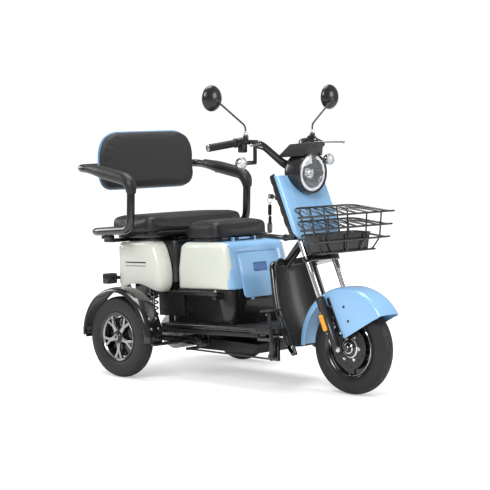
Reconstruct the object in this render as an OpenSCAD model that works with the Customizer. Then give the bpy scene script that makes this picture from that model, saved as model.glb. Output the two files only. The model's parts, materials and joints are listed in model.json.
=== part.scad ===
// Three-wheeled two-seat electric scooter with basket, bench and hoop armrests.
// Row frame: +X forward, +Y left, +Z up, origin on the ground under the middle of the outline.

/* [Stance] */
// Distance between front and rear axles
wheelbase = 1042; // [1000:1:1090]
// Distance between the rear wheels' centre planes
rear_track = 747; // [730:1:790]
// Nose-up tilt of the body over the rear axle, degrees
body_tilt = 3; // [2:0.1:3.6]
// Rake of the fork back from the vertical, degrees
fork_rake = 25.2; // [24:0.1:26.5]

/* [Wheels] */
// Outer radius of the rear tyres
rear_r = 180; // [174:1:184]
// Outer radius of the front tyre
front_r = 198; // [190:1:202]
// Width of the rear tyres
rear_tyre_w = 72; // [60:1:80]
// Width of the front tyre
front_tyre_w = 78; // [64:1:84]
// Radius of the rear tyres' bead seat
rear_bead_r = 106; // [98:1:112]
// Radius of the front tyre's bead seat
front_bead_r = 128; // [118:1:134]
// Radius of the rear stub axles
stub_r = 10; // [8:0.5:12]
// Radius of the front axle
front_axle_r = 7; // [5:0.5:8]

/* [Fork] */
// Half distance between the fork legs
leg_y = 85; // [80:0.5:92]
// Offset of the steering axis behind the front axle, across the fork
axis_offset = 52; // [48:1:56]
// Offset of the fork legs behind the front axle, across the fork
leg_offset = 18; // [14:1:22]
// Radius of the chrome stanchions
stanchion_r = 13; // [11:0.5:14]
// Wall of the fork sliders
slider_wall = 4.5; // [3:0.5:6]
// Travel of the fork
fork_travel = 55; // [30:1:60]
// Radius of the steering column
steerer_r = 14; // [12:0.5:16]

/* [Floor and front body] */
// Half width of the floorboard
floor_y = 232; // [215:1:240]
// Height of the floor's top above the ground, before tilting
floor_top = 233; // [229:0.5:236]
// Thickness of the floorboard
floor_t = 20; // [14:0.5:24]
// Half width of the battery box
box_y = 200; // [190:1:206]
// Half width of the black skirt under the box
skirt_y = 190; // [180:1:196]
// Wall of the moulded shells
shell_t = 3.5; // [2.5:0.5:5]
// Height of the battery box deck
deck_z = 590; // [580:1:596]

/* [Rear body and seats] */
// Half width over the rear side panels
panel_y = 280; // [270:1:290]
// Thickness of the rear cushion
bench_t = 70; // [55:1:76]
// Half width of the rear cushion
bench_y = 288; // [270:1:298]
// Thickness of the rider's cushion
saddle_t = 72; // [55:1:78]
// Half width of the rider's cushion
saddle_y = 160; // [140:1:170]
// Length of the rider's cushion
saddle_len = 186; // [160:1:196]

/* [Hoop and backrest] */
// Radius of the hoop tube
hoop_r = 18; // [14:0.5:20]
// Half width between the hoop's side tubes
hoop_y = 362; // [350:1:368]
// Height of the hoop's upper tube at the back
hoop_top = 932; // [910:1:950]
// Half width of the backrest
back_y = 286; // [270:1:300]
// Height of the backrest
back_h = 260; // [230:1:280]

/* [Steering head] */
// Radius of the headlamp housing
lamp_r = 89; // [80:1:92]
// Half width of the front panel
front_panel_y = 142; // [135:1:150]
// Radius of the handlebar tube
bar_r = 11; // [10:0.5:12]
// Radius of the hand grips
grip_r = 16.5; // [15:0.5:18]
// Half length of the basket's front rail
basket_y = 300; // [270:1:310]
// Radius of the basket's wires
wire_r = 4.5; // [3:0.5:5.5]
// Half width across the mirror centres
mirror_y = 366; // [350:1:368]

/* [Fits] */
// Radial clearance of pins and shafts that turn or slide
run_gap = 0.05; // [0.02:0.01:0.1]
// Clearance between pieces that move past each other
free_gap = 1.5; // [1:0.1:3]

/* [Hidden] */
$fn = 48;

black = [0.07, 0.07, 0.08];
gloss_black = [0.03, 0.03, 0.035];
vinyl = [0.12, 0.12, 0.13];
sky_blue = [0.56, 0.77, 0.93];
cream = [0.87, 0.88, 0.84];
rubber = [0.1, 0.1, 0.1];
chrome = [0.8, 0.8, 0.82];
steel = [0.5, 0.5, 0.52];
amber = [1, 0.5, 0.05];

// Hoop path, in the untilted body frame
hoop_low_z = 642;
hoop_low_x = -205;
hoop_high_x = -255;
hoop_front_x = 78;
// Middle of the outline, from the front tyre to the tilted hoop's back
front_x = wheelbase + front_r;
rear_x = hoop_high_x*cos(body_tilt) - (hoop_top - rear_r)*sin(body_tilt) - hoop_r;
mid_x = (front_x + rear_x)/2;
// The steering head's places are given for this wheelbase, and move with the real one
drawn_wheelbase = 1042;
head_shift = wheelbase - drawn_wheelbase;

// ---- places ----
module row() {
    translate([-mid_x, 0, 0]) children();
}

// Places of the steering head, which move with the front wheel
module head() {
    row() translate([head_shift, 0, 0]) children();
}

// Body frame: untilted coordinates, tilted about the rear axle line
module body() {
    row() translate([0, 0, rear_r]) rotate([0, -body_tilt, 0]) translate([0, 0, -rear_r]) children();
}

// Fork frame: x across the fork, z up along it, from the front axle
module fork() {
    row() translate([wheelbase, 0, front_r]) rotate([0, -fork_rake, 0]) children();
}

module both() {
    children();
    mirror([0, 1, 0]) children();
}

module side(s) {
    if (s < 0) children();
    else mirror([0, 1, 0]) children();
}

// ---- shapes ----
// Weld swelling where two tubes meet
joint_swell = 0.6;

module rrect(x0, x1, y0, y1, r) {
    translate([x0 + r, y0]) square([x1 - x0 - 2*r, y1 - y0]);
    translate([x0, y0 + r]) square([x1 - x0, y1 - y0 - 2*r]);
    for (x = [x0 + r, x1 - r], y = [y0 + r, y1 - r]) translate([x, y]) circle(r);
}

module plate(x0, x1, y0, y1, z0, z1, r) {
    translate([0, 0, z0]) linear_extrude(z1 - z0) rrect(x0, x1, y0, y1, r);
}

module block(x0, x1, y0, y1, z0, z1) {
    translate([x0, y0, z0]) cube([x1 - x0, y1 - y0, z1 - z0]);
}

// Turns +Z to the direction d
module aim(d) {
    rotate([0, acos(d[2]/norm(d)), atan2(d[1], d[0])]) children();
}

module rod(p, q, r) {
    translate(p) aim(q - p) cylinder(r = r, h = norm(q - p));
}

module run(pts, r) {
    for (i = [0:len(pts) - 2]) rod(pts[i], pts[i + 1], r);
    if (len(pts) > 2) for (i = [1:len(pts) - 2])
        translate(pts[i]) aim(unit(pts[i] - pts[i - 1]) + unit(pts[i + 1] - pts[i]))
            sphere(r + joint_swell);
}

module along_y(x, z, r, y0, y1) {
    translate([x, y1, z]) rotate([90, 0, 0]) cylinder(r = r, h = y1 - y0);
}

module ring(ro, ri, h) {
    difference() {
        cylinder(r = ro, h = h);
        translate([0, 0, -1]) cylinder(r = ri, h = h + 2);
    }
}

function unit(v) = v/norm(v);

// Points along a polyline whose corners are rounded over the distance d
function corner(a, p, b, d, n) =
    let(s = p + d*unit(a - p), f = p + d*unit(b - p))
    [for (i = [0:n]) let(t = i/n) (1 - t)*(1 - t)*s + 2*t*(1 - t)*p + t*t*f];
function loop_path(pts, d, n) =
    let(m = len(pts))
    [for (i = [0:m - 1]) each corner(pts[(i + m - 1)%m], pts[i], pts[(i + 1)%m], d[i], n)];

// Tube swept along a path; ring corners are set out from the direction to one point
module sweep(path, r, sides, toward, closed) {
    m = len(path);
    function at(i) = path[(i + m)%m];
    function tangent(i) = closed ? unit(at(i + 1) - at(i - 1))
                                 : unit(path[min(i + 1, m - 1)] - path[max(i - 1, 0)]);
    pts = [for (i = [0:m - 1])
               let(t = tangent(i), v = toward - path[i], n = unit(v - (v*t)*t), b = cross(t, n))
               for (k = [0:sides - 1]) path[i] + r*(cos(360*k/sides)*n + sin(360*k/sides)*b)];
    last = closed ? m - 1 : m - 2;
    walls = [for (i = [0:last], k = [0:sides - 1])
                 let(j = (i + 1)%m, l = (k + 1)%sides)
                 each [[i*sides + k, i*sides + l, j*sides + l], [i*sides + k, j*sides + l, j*sides + k]]];
    ends = closed ? [] : [[for (k = [0:sides - 1]) sides - 1 - k], [for (k = [0:sides - 1])
        (m - 1)*sides + k]];
    caps = [for (c = ends) c];
    polyhedron(points = pts, faces = [for (f = concat(walls, caps)) [for (k = [len(f) - 1:-1:0]) f[k]]],
               convexity = 8);
}

// Rounded tyre section about Y, from bead to bead
module tyre(r, bead, w) {
    h = (r - bead)/0.9;
    mid = r - 0.55*h;
    function lobe(v) = sign(v)*pow(abs(v), 0.8);
    section = [for (a = [-125:12.5:125]) [mid + 0.55*h*lobe(cos(a)), w/2*lobe(sin(a))]];
    rotate([90, 0, 0]) rotate_extrude($fn = 96)
        difference() {
            polygon(section);
            square([2*bead, 2*w], center = true);
        }
}

// Spoked rim about Y: barrel under the beads, hub and five spokes
module rim(bead, w, hub_r, hub_w, bore_r) {
    barrel = 7;
    difference() {
        union() {
            rotate([90, 0, 0]) translate([0, 0, -w/2]) ring(bead, bead - barrel, w);
            rotate([90, 0, 0]) translate([0, 0, -hub_w/2]) cylinder(r = hub_r, h = hub_w);
            for (i = [0:4]) rotate([0, 72*i, 0]) translate([0, -9, 0])
                block(-11, 11, 0, 18, hub_r - 4, bead - barrel + 1);
        }
        along_y(0, 0, bore_r, -hub_w, hub_w);
    }
}

// ---- driving places derived from the sizes above ----
axis_x = -axis_offset;          // steering axis, fork frame
crown_z = 396;                  // lower crown's underside along the fork
crown_t = 26;
head_bottom = crown_z + crown_t + 0.5;
head_top = 600;
top_crown_z = head_top + 0.5;
slider_top = 230;
fender_y = 61.5;                // half width of the front fender
shield_r = 206;                 // inner radius of the leg shield about the steering axis
shield_top = 432;
shield_t = 5;
pivot_x = 330;                  // swing arm pivot, row frame before centring
pivot_z = 170;
pin_r = 10;
arm_y = rear_track/2 - 173.5;
shock_x = 54;
shock_y = arm_y + 36;
shock_top_z = 405;
eye_r = 11;
deck_x0 = 184;
deck_x1 = 478;
box_x1 = 520;
saddle_x0 = 216;
saddle_x1 = saddle_x0 + saddle_len;
saddle_hinge = [saddle_x1 + 8, deck_z + 9];
bench_x0 = -140;
bench_x1 = 120;
bench_z = 640;
core_x1 = 170;
tube_x = 846 - shield_r;
core_top = 594;
bench_hinge = [bench_x1 + 16, bench_z - 24];
hinge_pin_r = 4;
hinge_eye_r = 8;
panel_x0 = -134;
door_foot = [537, 347];         // lower edge of the door's face
door_h = 200;
door_lean = 13;
door_hinge = [530, 341];
door_y = 125;
rest_pivot = [440, 214, 368];
pedal_pivot = [795, 158];
pedal_y = 243;
lamp_face = [808, 922];
lamp_depth = 104;
grip_in = [582, 240, 1050];
grip_out = [530, 350, 1030];
bar_dir = unit(grip_out - grip_in);
lever_pivot = [655, 176, 1046];
stem_foot = [608, 208, 1078];
mirror_c = [572, mirror_y, 1240];
key_c = [664, 75, 818];

module on_axis(z) {
    fork() translate([axis_x, 0, z]) children();
}

// ---- frame ----
module main_frame() {
    rail_y = 150;
    tube = 16;
    rail_z = floor_top - floor_t - tube + 1.7;
    color(gloss_black) {
        difference() {
            union() {
                on_axis(head_bottom) cylinder(r = steerer_r + 8, h = head_top - head_bottom);
                head() run([[762, 0, 645], [tube_x, 0, 508], [tube_x, 0, 430], [tube_x + 50, 0, 262],
                            [tube_x + 60, 0, 222]], 19);
                head() run([[758, 0, 648], [650, 0, 637], [640, 0, 636]], 13);
                head() run([[642, 0, 636], [526, 0, 637]], 11);
                head() along_y(516, 640, 13, -12, 12);
            }
            on_axis(head_bottom - 1) cylinder(r = steerer_r + run_gap, h = head_top - head_bottom + 2);
        }
        body() {
            translate([head_shift, 0, 0])
                rod([700, -rail_y - tube, rail_z - 1.5], [700, rail_y + tube, rail_z - 1.5], tube - 0.5);
            both() {
                run([[700 + head_shift, rail_y, rail_z], [85, rail_y, rail_z], [85, rail_y, 575]],
                    tube - 2);
                rod([85, rail_y, 400], [-100, rail_y, 575], tube - 4);
                block(-125, -65, rail_y - 20, hoop_y - 12, core_top + 2, bench_z - 29);
                block(40, 100, rail_y - 60, bench_y - 40, core_top + 2, bench_z - 29);
                block(-115, -75, rail_y - 10, rail_y + 10, 570, core_top + 3);
                block(65, 100, rail_y - 12, rail_y + 12, 570, core_top + 3);
                translate([head_shift, 0, 0]) block(690, 790, 195, floor_y - 12.3, 176, 192);
                translate([head_shift, 0, 0]) block(690, 716, rail_y, 200, 176, 192);
            }
            for (x = [-95, 70]) block(x - 12, x + 12, -rail_y, rail_y, core_top + 2, bench_z - 29);
        }
        row() {
            both() {
                block(pivot_x - 16, pivot_x + 16, arm_y - 42, arm_y - 24, pivot_z - 16, pivot_z + 50);
                along_y(pivot_x, pivot_z, pin_r, arm_y - 50, arm_y + 26);
                block(shock_x - 6, shock_x + 50, 140, shock_y - 14, shock_top_z + 8, shock_top_z + 22);
                block(shock_x - 16, shock_x + 16, shock_y - 31, shock_y + 16, shock_top_z,
                    shock_top_z + 22);
                difference() {
                    translate([shock_x, shock_y, shock_top_z - 50]) cylinder(r = 15, h = 51);
                    translate([shock_x, shock_y, shock_top_z - 51]) cylinder(r = 9 + run_gap, h = 49);
                }
            }
        }
        head() {
            both() run([[700, 70, 232], [742, 78, 172], [780, 95, 152], [809, 110, 160], [796.1, 110,
                188]], 8);
            translate([pedal_pivot[0], -pedal_y + 20, pedal_pivot[1]]) block(-24, 20, 0, 14, -20, 72);
            along_y(pedal_pivot[0], pedal_pivot[1], 6, -pedal_y - 12, -pedal_y + 22);
        }
    }
}

// ---- floor ----
module floorboard() {
    color(black) difference() {
        body() union() {
            plate(110, 820 + head_shift, -floor_y, floor_y, floor_top - floor_t, floor_top, 10);
            for (i = [-5:5]) if (abs(i) > 0) block(530, 690 + head_shift, 36*i - 4, 36*i + 4,
                floor_top - 1, floor_top + 2);
            both() {
                block(102, 708 + head_shift, floor_y - 12, floor_y, floor_top - floor_t - 22,
                    floor_top - floor_t - 4);
                for (x = [160:130:690]) block(x - 8, x + 8, floor_y - 12, floor_y - 3, 200,
                    floor_top - floor_t + 1);
            }
        }
        on_axis(0) cylinder(r = shield_r - 2 + shield_t + 0.3, h = 300);
        head() run([[tube_x + 24, 0, 350], [tube_x + 50, 0, 262], [tube_x + 64, 0, 190]], 21);
        body() for (s = [-1, 1]) translate([85, s*150, 0]) cylinder(r = 40, h = 400);
    }
}

module leg_shield() {
    function profile(t, g) = [[shield_r - 2 - g, 96 + g], [shield_r - 2 - g, 240], [shield_r - 14 - g, 310],
                              [shield_r - 38 - g, 380], [shield_r - 50 - g, shield_top - 6 - g],
                              [112 - g, shield_top - 6 - g], [112 - g, shield_top + g],
                              [shield_r - 44, shield_top + g], [shield_r - 38 + t, 384],
                                  [shield_r - 14 + t, 312],
                              [shield_r - 2 + t, 241], [shield_r - 2 + t, 96 + g]];
    color(black) {
        on_axis(0) rotate([0, 0, 136]) rotate_extrude(angle = 88, $fn = 96) polygon(profile(shield_t, 0));
        difference() {
            on_axis(0) for (a = [133, 222]) rotate([0, 0, a])
                rotate_extrude(angle = 5, $fn = 96) polygon(profile(24, 1.2));
            body() block(690 + head_shift, 900 + head_shift, -240, 240, floor_top - floor_t - 40,
                floor_top + 0.3);
        }
    }
}

// ---- front body ----
module box_solid(inset, z_extra) {
    hull() {
        plate(deck_x0 - 8 + inset, box_x1 + 4 - inset, -box_y + inset, box_y - inset, 386, 387, 46 - inset);
        plate(deck_x0 - 8 + inset, box_x1 - 16 - inset, -box_y + inset, box_y - inset, 470, 471,
            46 - inset);
        plate(deck_x0 + 4 + inset, deck_x1 + 6 - inset, -box_y + 8 + inset, box_y - 8 - inset,
              deck_z - 18 - inset + z_extra, deck_z - 17 - inset + z_extra, 46 - inset);
        plate(deck_x0 + 16 + inset, deck_x1 - 8 - inset, -box_y + 24 + inset, box_y - 24 - inset,
              deck_z - 1 - inset + z_extra, deck_z - inset + z_extra, 40 - inset);
    }
}

module box_ring() {
    difference() {
        box_solid(0, 0);
        box_solid(shell_t, 0);
        block(deck_x0, box_x1, -box_y + 10, box_y - 10, 380, 392);
        translate([0, 0, -20]) plate(240, 380, -110, 110, deck_z, deck_z + 40, 20);
    }
}

module side_zone(s, gap) {
    side(s) block(0, box_x1 - 20 - gap, -300, -165 - gap, 300, 700);
}

// Space of the door, leaning about its lower edge
module door_space(thick, gap) {
    body() translate([door_foot[0], 0, door_foot[1]]) rotate([0, -door_lean, 0]) rotate([0, 90, 0])
        translate([0, 0, -thick]) linear_extrude(thick + gap*20)
        rrect(-door_h - gap, gap, -door_y - gap, door_y + gap, 22);
}

module front_shell() {
    color(sky_blue) difference() {
        body() difference() {
            union() {
                box_ring();
                both() block(saddle_hinge[0] - 8, saddle_hinge[0] + 8, 62, 70, deck_z - 3,
                    saddle_hinge[1] + 6);
                along_y(saddle_hinge[0], saddle_hinge[1], hinge_pin_r, -70, 70);
            }
            for (s = [-1, 1]) side_zone(s, 0);
        }
        door_space(60, free_gap);
    }
}

module side_panel(s) {
    color(cream) body() intersection() {
        box_ring();
        side_zone(s, 0.4);
    }
}

module battery_door() {
    color(sky_blue) difference() {
        union() {
            difference() {
                door_space(8, 0);
                body() translate([door_foot[0], 0, door_foot[1]]) rotate([0, -door_lean, 0])
                    block(-5.5, 4, -44, 44, 112, 150);
            }
            body() both() along_y(door_hinge[0], door_hinge[1], 7, 70, 90);
        }
        body() along_y(door_hinge[0], door_hinge[1], hinge_pin_r + run_gap, -130, 130);
    }
}

module lower_skirt() {
    color(black) body() {
        difference() {
            plate(118, box_x1 - 8, -skirt_y, skirt_y, floor_top + 0.3, 385.5, 44);
            plate(118 + shell_t, box_x1 - 8 - shell_t, -skirt_y + shell_t, skirt_y - shell_t,
                floor_top - 1, 392,
                  44 - shell_t);
            block(60, core_x1 + 6, -300, 300, 330, 400);
            block(60, 130, -170, 170, 200, 400);
        }
        both() block(rest_pivot[0] - 14, rest_pivot[0] + 14, skirt_y - 2, rest_pivot[1] + 12,
                     rest_pivot[2] - 26, rest_pivot[2] - 9.3);
        both() translate([rest_pivot[0], rest_pivot[1], rest_pivot[2] - 12]) cylinder(r = 5, h = 24);
        both() block(box_x1 - 12, door_hinge[0] + 6, 92, 100, door_hinge[1] - 7, door_hinge[1] + 2);
        along_y(door_hinge[0], door_hinge[1], hinge_pin_r, -100, 100);
    }
}

module battery_pack() {
    color(steel) body() plate(240, 440, -105, 105, floor_top + 0.3, 545, 12);
}

// ---- rear body ----
module rear_shape(inset) {
    hull() {
        plate(panel_x0 + inset, core_x1 - 22 - inset, -panel_y + inset, panel_y - inset, 445, 446,
            60 - inset);
        plate(panel_x0 + 10 + inset, core_x1 - 14 - inset, -panel_y + 6 + inset, panel_y - 6 - inset,
            400, 401,
              56 - inset);
        plate(panel_x0 + 8 + inset, core_x1 - 60 - inset, -panel_y + 12 + inset, panel_y - 12 - inset,
              core_top + 7 - inset, core_top + 8 - inset, 50 - inset);
        plate(40 + inset, core_x1 - 22 - inset, -panel_y + 30 + inset, panel_y - 30 - inset, 366, 367,
              40 - inset);
    }
}

module rear_panel(s) {
    color(cream) difference() {
        body() difference() {
            rear_shape(0);
            rear_shape(shell_t);
            side(-s) block(-300, 300, -400, 196, 200, 700);
            side(s) block(-300, 300, -198, 400, 200, 700);
            block(-300, -55, -400, 400, core_top - 4, 700);
            block(-300, 300, -400, 400, core_top + 1.7, 700);
        }
        row() along_y(0, rear_r, rear_r + 48, -500, 500);
    }
}

module rear_body_core() {
    core_y = 193;
    color(black) difference() {
        body() {
            difference() {
                plate(-122, core_x1, -core_y, core_y, 334, core_top + 1, 30);
                plate(-122 + shell_t, core_x1 - shell_t, -core_y + shell_t, core_y - shell_t, 333,
                      core_top + 1 - shell_t, 30 - shell_t);
                for (x = [-95, 84], y = [-150, 150]) block(x - 22, x + 20, y - 14, y + 14, 540, 700);
                block(60, 200, 110, 300, 300, 412);
                block(60, 200, -300, -110, 300, 412);
            }
            both() block(bench_hinge[0] - 7, bench_hinge[0] + 7, 72, 80, core_top, bench_hinge[1] + 7);
            along_y(bench_hinge[0], bench_hinge[1], hinge_pin_r, -80, 80);
        }
        row() both() block(shock_x - 12, shock_x + 56, 130, shock_y + 24, shock_top_z + 4,
            shock_top_z + 28);
        row() both() block(shock_x - 20, shock_x + 20, 185, shock_y + 34, 200, shock_top_z + 28);
    }
}

module tail_lamps() {
    color(black) body() difference() {
        both() {
            plate(-186, -142, 262, 318, 405, 452, 8);
            block(-143, -85, 262, 276, 424, 440);
        }
        rear_shape(-0.3);
    }
}

// ---- seats ----
module front_seat_base() {
    color(black) body() difference() {
        union() {
            plate(saddle_x0 + 5, saddle_x1 - 5, -saddle_y + 5, saddle_y - 5, deck_z + 1, deck_z + 15.5, 40);
            both() along_y(saddle_hinge[0], saddle_hinge[1], hinge_eye_r - 1, 36, 61);
            both() block(saddle_x1 - 12, saddle_hinge[0], 36, 61, deck_z + 4, deck_z + 12);
        }
        along_y(saddle_hinge[0], saddle_hinge[1], hinge_pin_r + run_gap, -62, 62);
    }
}

module pillow(x0, x1, y, z0, z1, r) {
    soft = 9;
    hull() {
        plate(x0 + soft, x1 - soft, -y + soft, y - soft, z0, z0 + 1, r - soft);
        plate(x0, x1, -y, y, z0 + soft, z1 - 1.6*soft, r);
        plate(x0 + soft, x1 - soft, -y + soft, y - soft, z1 - 1, z1, r - soft);
    }
}

module front_seat_cushion() {
    color(vinyl) body() pillow(saddle_x0, saddle_x1, saddle_y, deck_z + 16, deck_z + 16 + saddle_t, 50);
}

module rear_seat_base() {
    color(black) body() difference() {
        union() {
            plate(bench_x0 + 6, bench_x1 - 4, -bench_y + 6, bench_y - 6, bench_z - 27, bench_z - 0.5, 50);
            both() along_y(bench_hinge[0], bench_hinge[1], hinge_eye_r - 1, 40, 71);
            both() block(bench_x1 - 12, bench_hinge[0], 40, 71, bench_z - 26, bench_z - 18);
        }
        along_y(bench_hinge[0], bench_hinge[1], hinge_pin_r + run_gap, -72, 72);
    }
}

module rear_seat_cushion() {
    color(vinyl) body() pillow(bench_x0, bench_x1, bench_y, bench_z, bench_z + bench_t, 60);
}

// ---- hoop, armrests, backrest ----
hoop_points = [[hoop_low_x, hoop_y, hoop_low_z], [hoop_low_x, -hoop_y, hoop_low_z], [70, -hoop_y,
    hoop_low_z + 10],
               [hoop_front_x + 8, -hoop_y, 868], [-205, -hoop_y, hoop_top - 6], [hoop_high_x, -hoop_y,
                   hoop_top],
               [hoop_high_x, hoop_y, hoop_top], [-205, hoop_y, hoop_top - 6], [hoop_front_x + 8,
                   hoop_y, 868],
               [70, hoop_y, hoop_low_z + 10]];
hoop_bends = [80, 80, 52, 52, 12, 24, 24, 12, 52, 52];

module seat_hoop() {
    color(gloss_black) body() {
        sweep(loop_path(hoop_points, hoop_bends, 6), hoop_r, 16, [-70, 0, 785], true);
        both() block(-122, -68, hoop_y - 26, hoop_y + 6, bench_z - 28.5, hoop_low_z - hoop_r + 3);
    }
}

module pad_slab(grow) {
    lean = atan2(hoop_top - 6 - 868, hoop_front_x + 8 + 205);
    translate([-205, 0, hoop_top - 6]) rotate([0, lean, 0])
        plate(4 - grow, 244 + grow, -hoop_y - 27 - grow, -hoop_y + 27 + grow, -13 - grow, 27 + grow, 18);
}

module armrest_pad(s) {
    lean = atan2(hoop_top - 6 - 868, hoop_front_x + 8 + 205);
    color(vinyl) body() side(s) difference() {
        pad_slab(0);
        translate([-205, -hoop_y, hoop_top - 6]) rotate([0, lean, 0]) rotate([0, 90, 0])
            translate([0, 0, -60]) cylinder(r = hoop_r + 0.4, h = 400);
        translate([-205, 0, hoop_top - 6]) rotate([0, lean, 0])
            block(-60, 400, -hoop_y - 4, -hoop_y + 4, -60, 0);
    }
}

module back_outline(x0, x1, inset) {
    translate([x0, 0, 958]) rotate([90, 0, 90]) linear_extrude(x1 - x0)
        rrect(-back_y + inset, back_y - inset, -back_h/2 + inset, back_h/2 - inset, 88 - inset);
}

module backrest_shell() {
    color(sky_blue) body() {
        back_outline(-229, -214, 0);
        both() difference() {
            block(hoop_high_x - 6, -228, 120, 150, hoop_top - 14, hoop_top + 14);
            along_y(hoop_high_x, hoop_top, hoop_r + 0.2, 100, 170);
        }
    }
}

module backrest_cushion() {
    color(vinyl) body() hull() {
        back_outline(-213.6, -192, 2);
        back_outline(-192, -184, 14);
    }
}

// ---- rear axle group ----
module swing_arm() {
    stay_top = rear_r - (rear_r + 40)*sin(2) - 0.3;
    color(gloss_black) row() difference() {
        union() {
            both() {
                along_y(pivot_x, pivot_z, pin_r + 9, arm_y - 20, arm_y + 22);
                block(-14, pivot_x - 6, arm_y - 14, arm_y + 10, pivot_z - 15, pivot_z + 11);
                along_y(0, rear_r, 34, arm_y - 16, arm_y + 14);
                along_y(shock_x, pivot_z, 5, arm_y + 8, shock_y + 18);
                block(222, 234, arm_y, arm_y + 90, pivot_z - 10, stay_top);
                block(rear_r + 34, 234, arm_y + 78, rear_track/2 + 22, pivot_z - 10, stay_top);
                block(-rear_r - 46, -20, arm_y - 10, arm_y + 4, stay_top - 12, stay_top);
                block(-rear_r - 46, -rear_r - 34.2, arm_y - 10, rear_track/2 + 22, stay_top - 12, stay_top);
            }
            block(150, 170, -arm_y, arm_y, pivot_z - 12, pivot_z + 8);
        }
        along_y(pivot_x, pivot_z, pin_r + run_gap, -300, 300);
        along_y(0, rear_r, 26.2, -300, 300);
    }
}

module drive_unit() {
    drum_y = rear_track/2 - 82.5;
    color(steel) row() translate([0, 0, rear_r]) {
        along_y(0, 0, 26, -drum_y - 1, drum_y + 1);
        along_y(0, 0, 84, -62, 48);
        along_y(0, 0, 66, -88, -60);
        along_y(0, 0, 60, 46, 96);
        both() {
            along_y(0, 0, 68, drum_y, drum_y + 27);
            along_y(0, 0, 17, drum_y + 25, rear_track/2 - 34);
            along_y(0, 0, stub_r, rear_track/2 - 36, rear_track/2 + 36);
            along_y(0, 0, stub_r + 5, rear_track/2 + 32, rear_track/2 + 40);
        }
    }
}

module rear_fender(s) {
    w0 = rear_track/2 - 44;
    w1 = rear_track/2 + 51;
    color(black) row() translate([0, 0, rear_r]) side(s) translate([0, -w0, 0]) rotate([90, 0, 0]) {
        rotate([0, 0, -2]) rotate_extrude(angle = 184, $fn = 96) translate([rear_r + 35, 0]) square([5,
            w1 - w0]);
        rotate([0, 0, -2]) rotate_extrude(angle = 184, $fn = 96)
            translate([rear_r + 23, w1 - w0 - 4]) square([14, 4]);
    }
}

module shock_rods() {
    color(chrome) row() both() difference() {
        union() {
            translate([shock_x, shock_y, pivot_z + 10]) cylinder(r = 9, h = shock_top_z - 48 - pivot_z);
            along_y(shock_x, pivot_z, eye_r, shock_y - 9, shock_y + 9);
            translate([shock_x, shock_y, pivot_z + 9]) cylinder(r = 22, h = 8);
        }
        along_y(shock_x, pivot_z, 5 + free_gap, shock_y - 40, shock_y + 40);
    }
}

module shock_springs() {
    z0 = pivot_z + 17.3;
    z1 = shock_top_z - 0.3;
    turns = 7;
    wire = 4;
    steps = 12;
    seat_t = 4;
    coil = [for (i = [0:turns*steps]) [shock_x + 21*cos(360*i/steps), shock_y + 21*sin(360*i/steps),
                                       z0 + seat_t + i*(z1 - z0 - 2*seat_t)/(turns*steps)]];
    color(steel) row() both() {
        sweep(coil, wire, 8, [shock_x, shock_y, -90000], false);
        for (z = [z0, z1 - seat_t]) translate([shock_x, shock_y, z]) ring(26, 15.3, seat_t);
    }
}

// ---- wheels ----
module rear_wheel_at(s) {
    row() side(s) translate([0, -rear_track/2, rear_r]) children();
}

module rear_rim(s) {
    color(steel) rear_wheel_at(s) rim(rear_bead_r, 60, 30, 62, stub_r + run_gap);
}

module rear_tyre(s) {
    color(rubber) rear_wheel_at(s) tyre(rear_r, rear_bead_r, rear_tyre_w);
}

module front_tyre() {
    color(rubber) row() translate([wheelbase, 0, front_r]) tyre(front_r, front_bead_r, front_tyre_w);
}

module front_rim() {
    color(steel) row() translate([wheelbase, 0, front_r]) rim(front_bead_r, 64, 42, 66,
        front_axle_r + run_gap);
}

// ---- fork ----
module fork_sliders() {
    slider_r = stanchion_r + slider_wall;
    color(gloss_black) fork() {
        both() difference() {
            union() {
                translate([-leg_offset, leg_y, -16]) cylinder(r = slider_r, h = slider_top + 16);
                block(-leg_offset - 6, 12, leg_y - 10, leg_y + 10, -12, 12);
                for (z = [128, 178]) block(-leg_offset + 8, -leg_offset + 22, fender_y, leg_y - 12, z,
                    z + 14);
            }
            translate([-leg_offset, leg_y, 60]) cylinder(r = stanchion_r + run_gap, h = slider_top);
        }
        along_y(0, 0, front_axle_r, -leg_y - 22, leg_y + 22);
        both() along_y(0, 0, front_axle_r + 5, 34, leg_y - 8);
        both() along_y(0, 0, front_axle_r + 6, leg_y + 8, leg_y + 16);
    }
}

module fork_reflectors() {
    slider_r = stanchion_r + slider_wall;
    color(amber) fork() both() difference() {
        translate([-leg_offset - 20, leg_y + 10, 88]) block(0, 22, 0, 16, 0, 82);
        translate([-leg_offset, leg_y, -16]) cylinder(r = slider_r + 0.1, h = slider_top + 16);
    }
}

module front_fender() {
    w = fender_y;
    color(sky_blue) row() translate([wheelbase, 0, front_r]) rotate([90, 0, 0]) {
        translate([0, 0, -w]) rotate([0, 0, 40]) rotate_extrude(angle = 142, $fn = 96)
            translate([front_r + 54, 0]) square([4, 2*w]);
        for (y = [-w, w - 4]) translate([0, 0, y]) {
            rotate([0, 0, 40]) rotate_extrude(angle = 142, $fn = 96)
                translate([front_r + 26, 0]) square([30, 4]);
            rotate([0, 0, 84]) rotate_extrude(angle = 40, $fn = 96)
                translate([front_r - 70, 0]) square([110, 4]);
        }
    }
}

module crown_plate(grow) {
    hull() {
        translate([axis_x, 0, crown_z - grow]) cylinder(r = 30 + grow, h = crown_t + 2*grow, $fn = 32);
        for (s = [-1, 1]) translate([-leg_offset, s*leg_y, crown_z - grow])
            cylinder(r = stanchion_r + 9 + grow, h = crown_t + 2*grow, $fn = 32);
    }
}

// Bends of the left half of the bar, from the clamp out to the grip
bar_bends = [[722, 0, 950], [700, 62, 962], [614, 122, 1050], [596, 190, 1053]];
bar_clamp = (bar_bends[1] + 30*unit(bar_bends[0] - bar_bends[1]))*[[1, 0, 0], [0, 0, 0], [0, 0, 1]];

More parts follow.
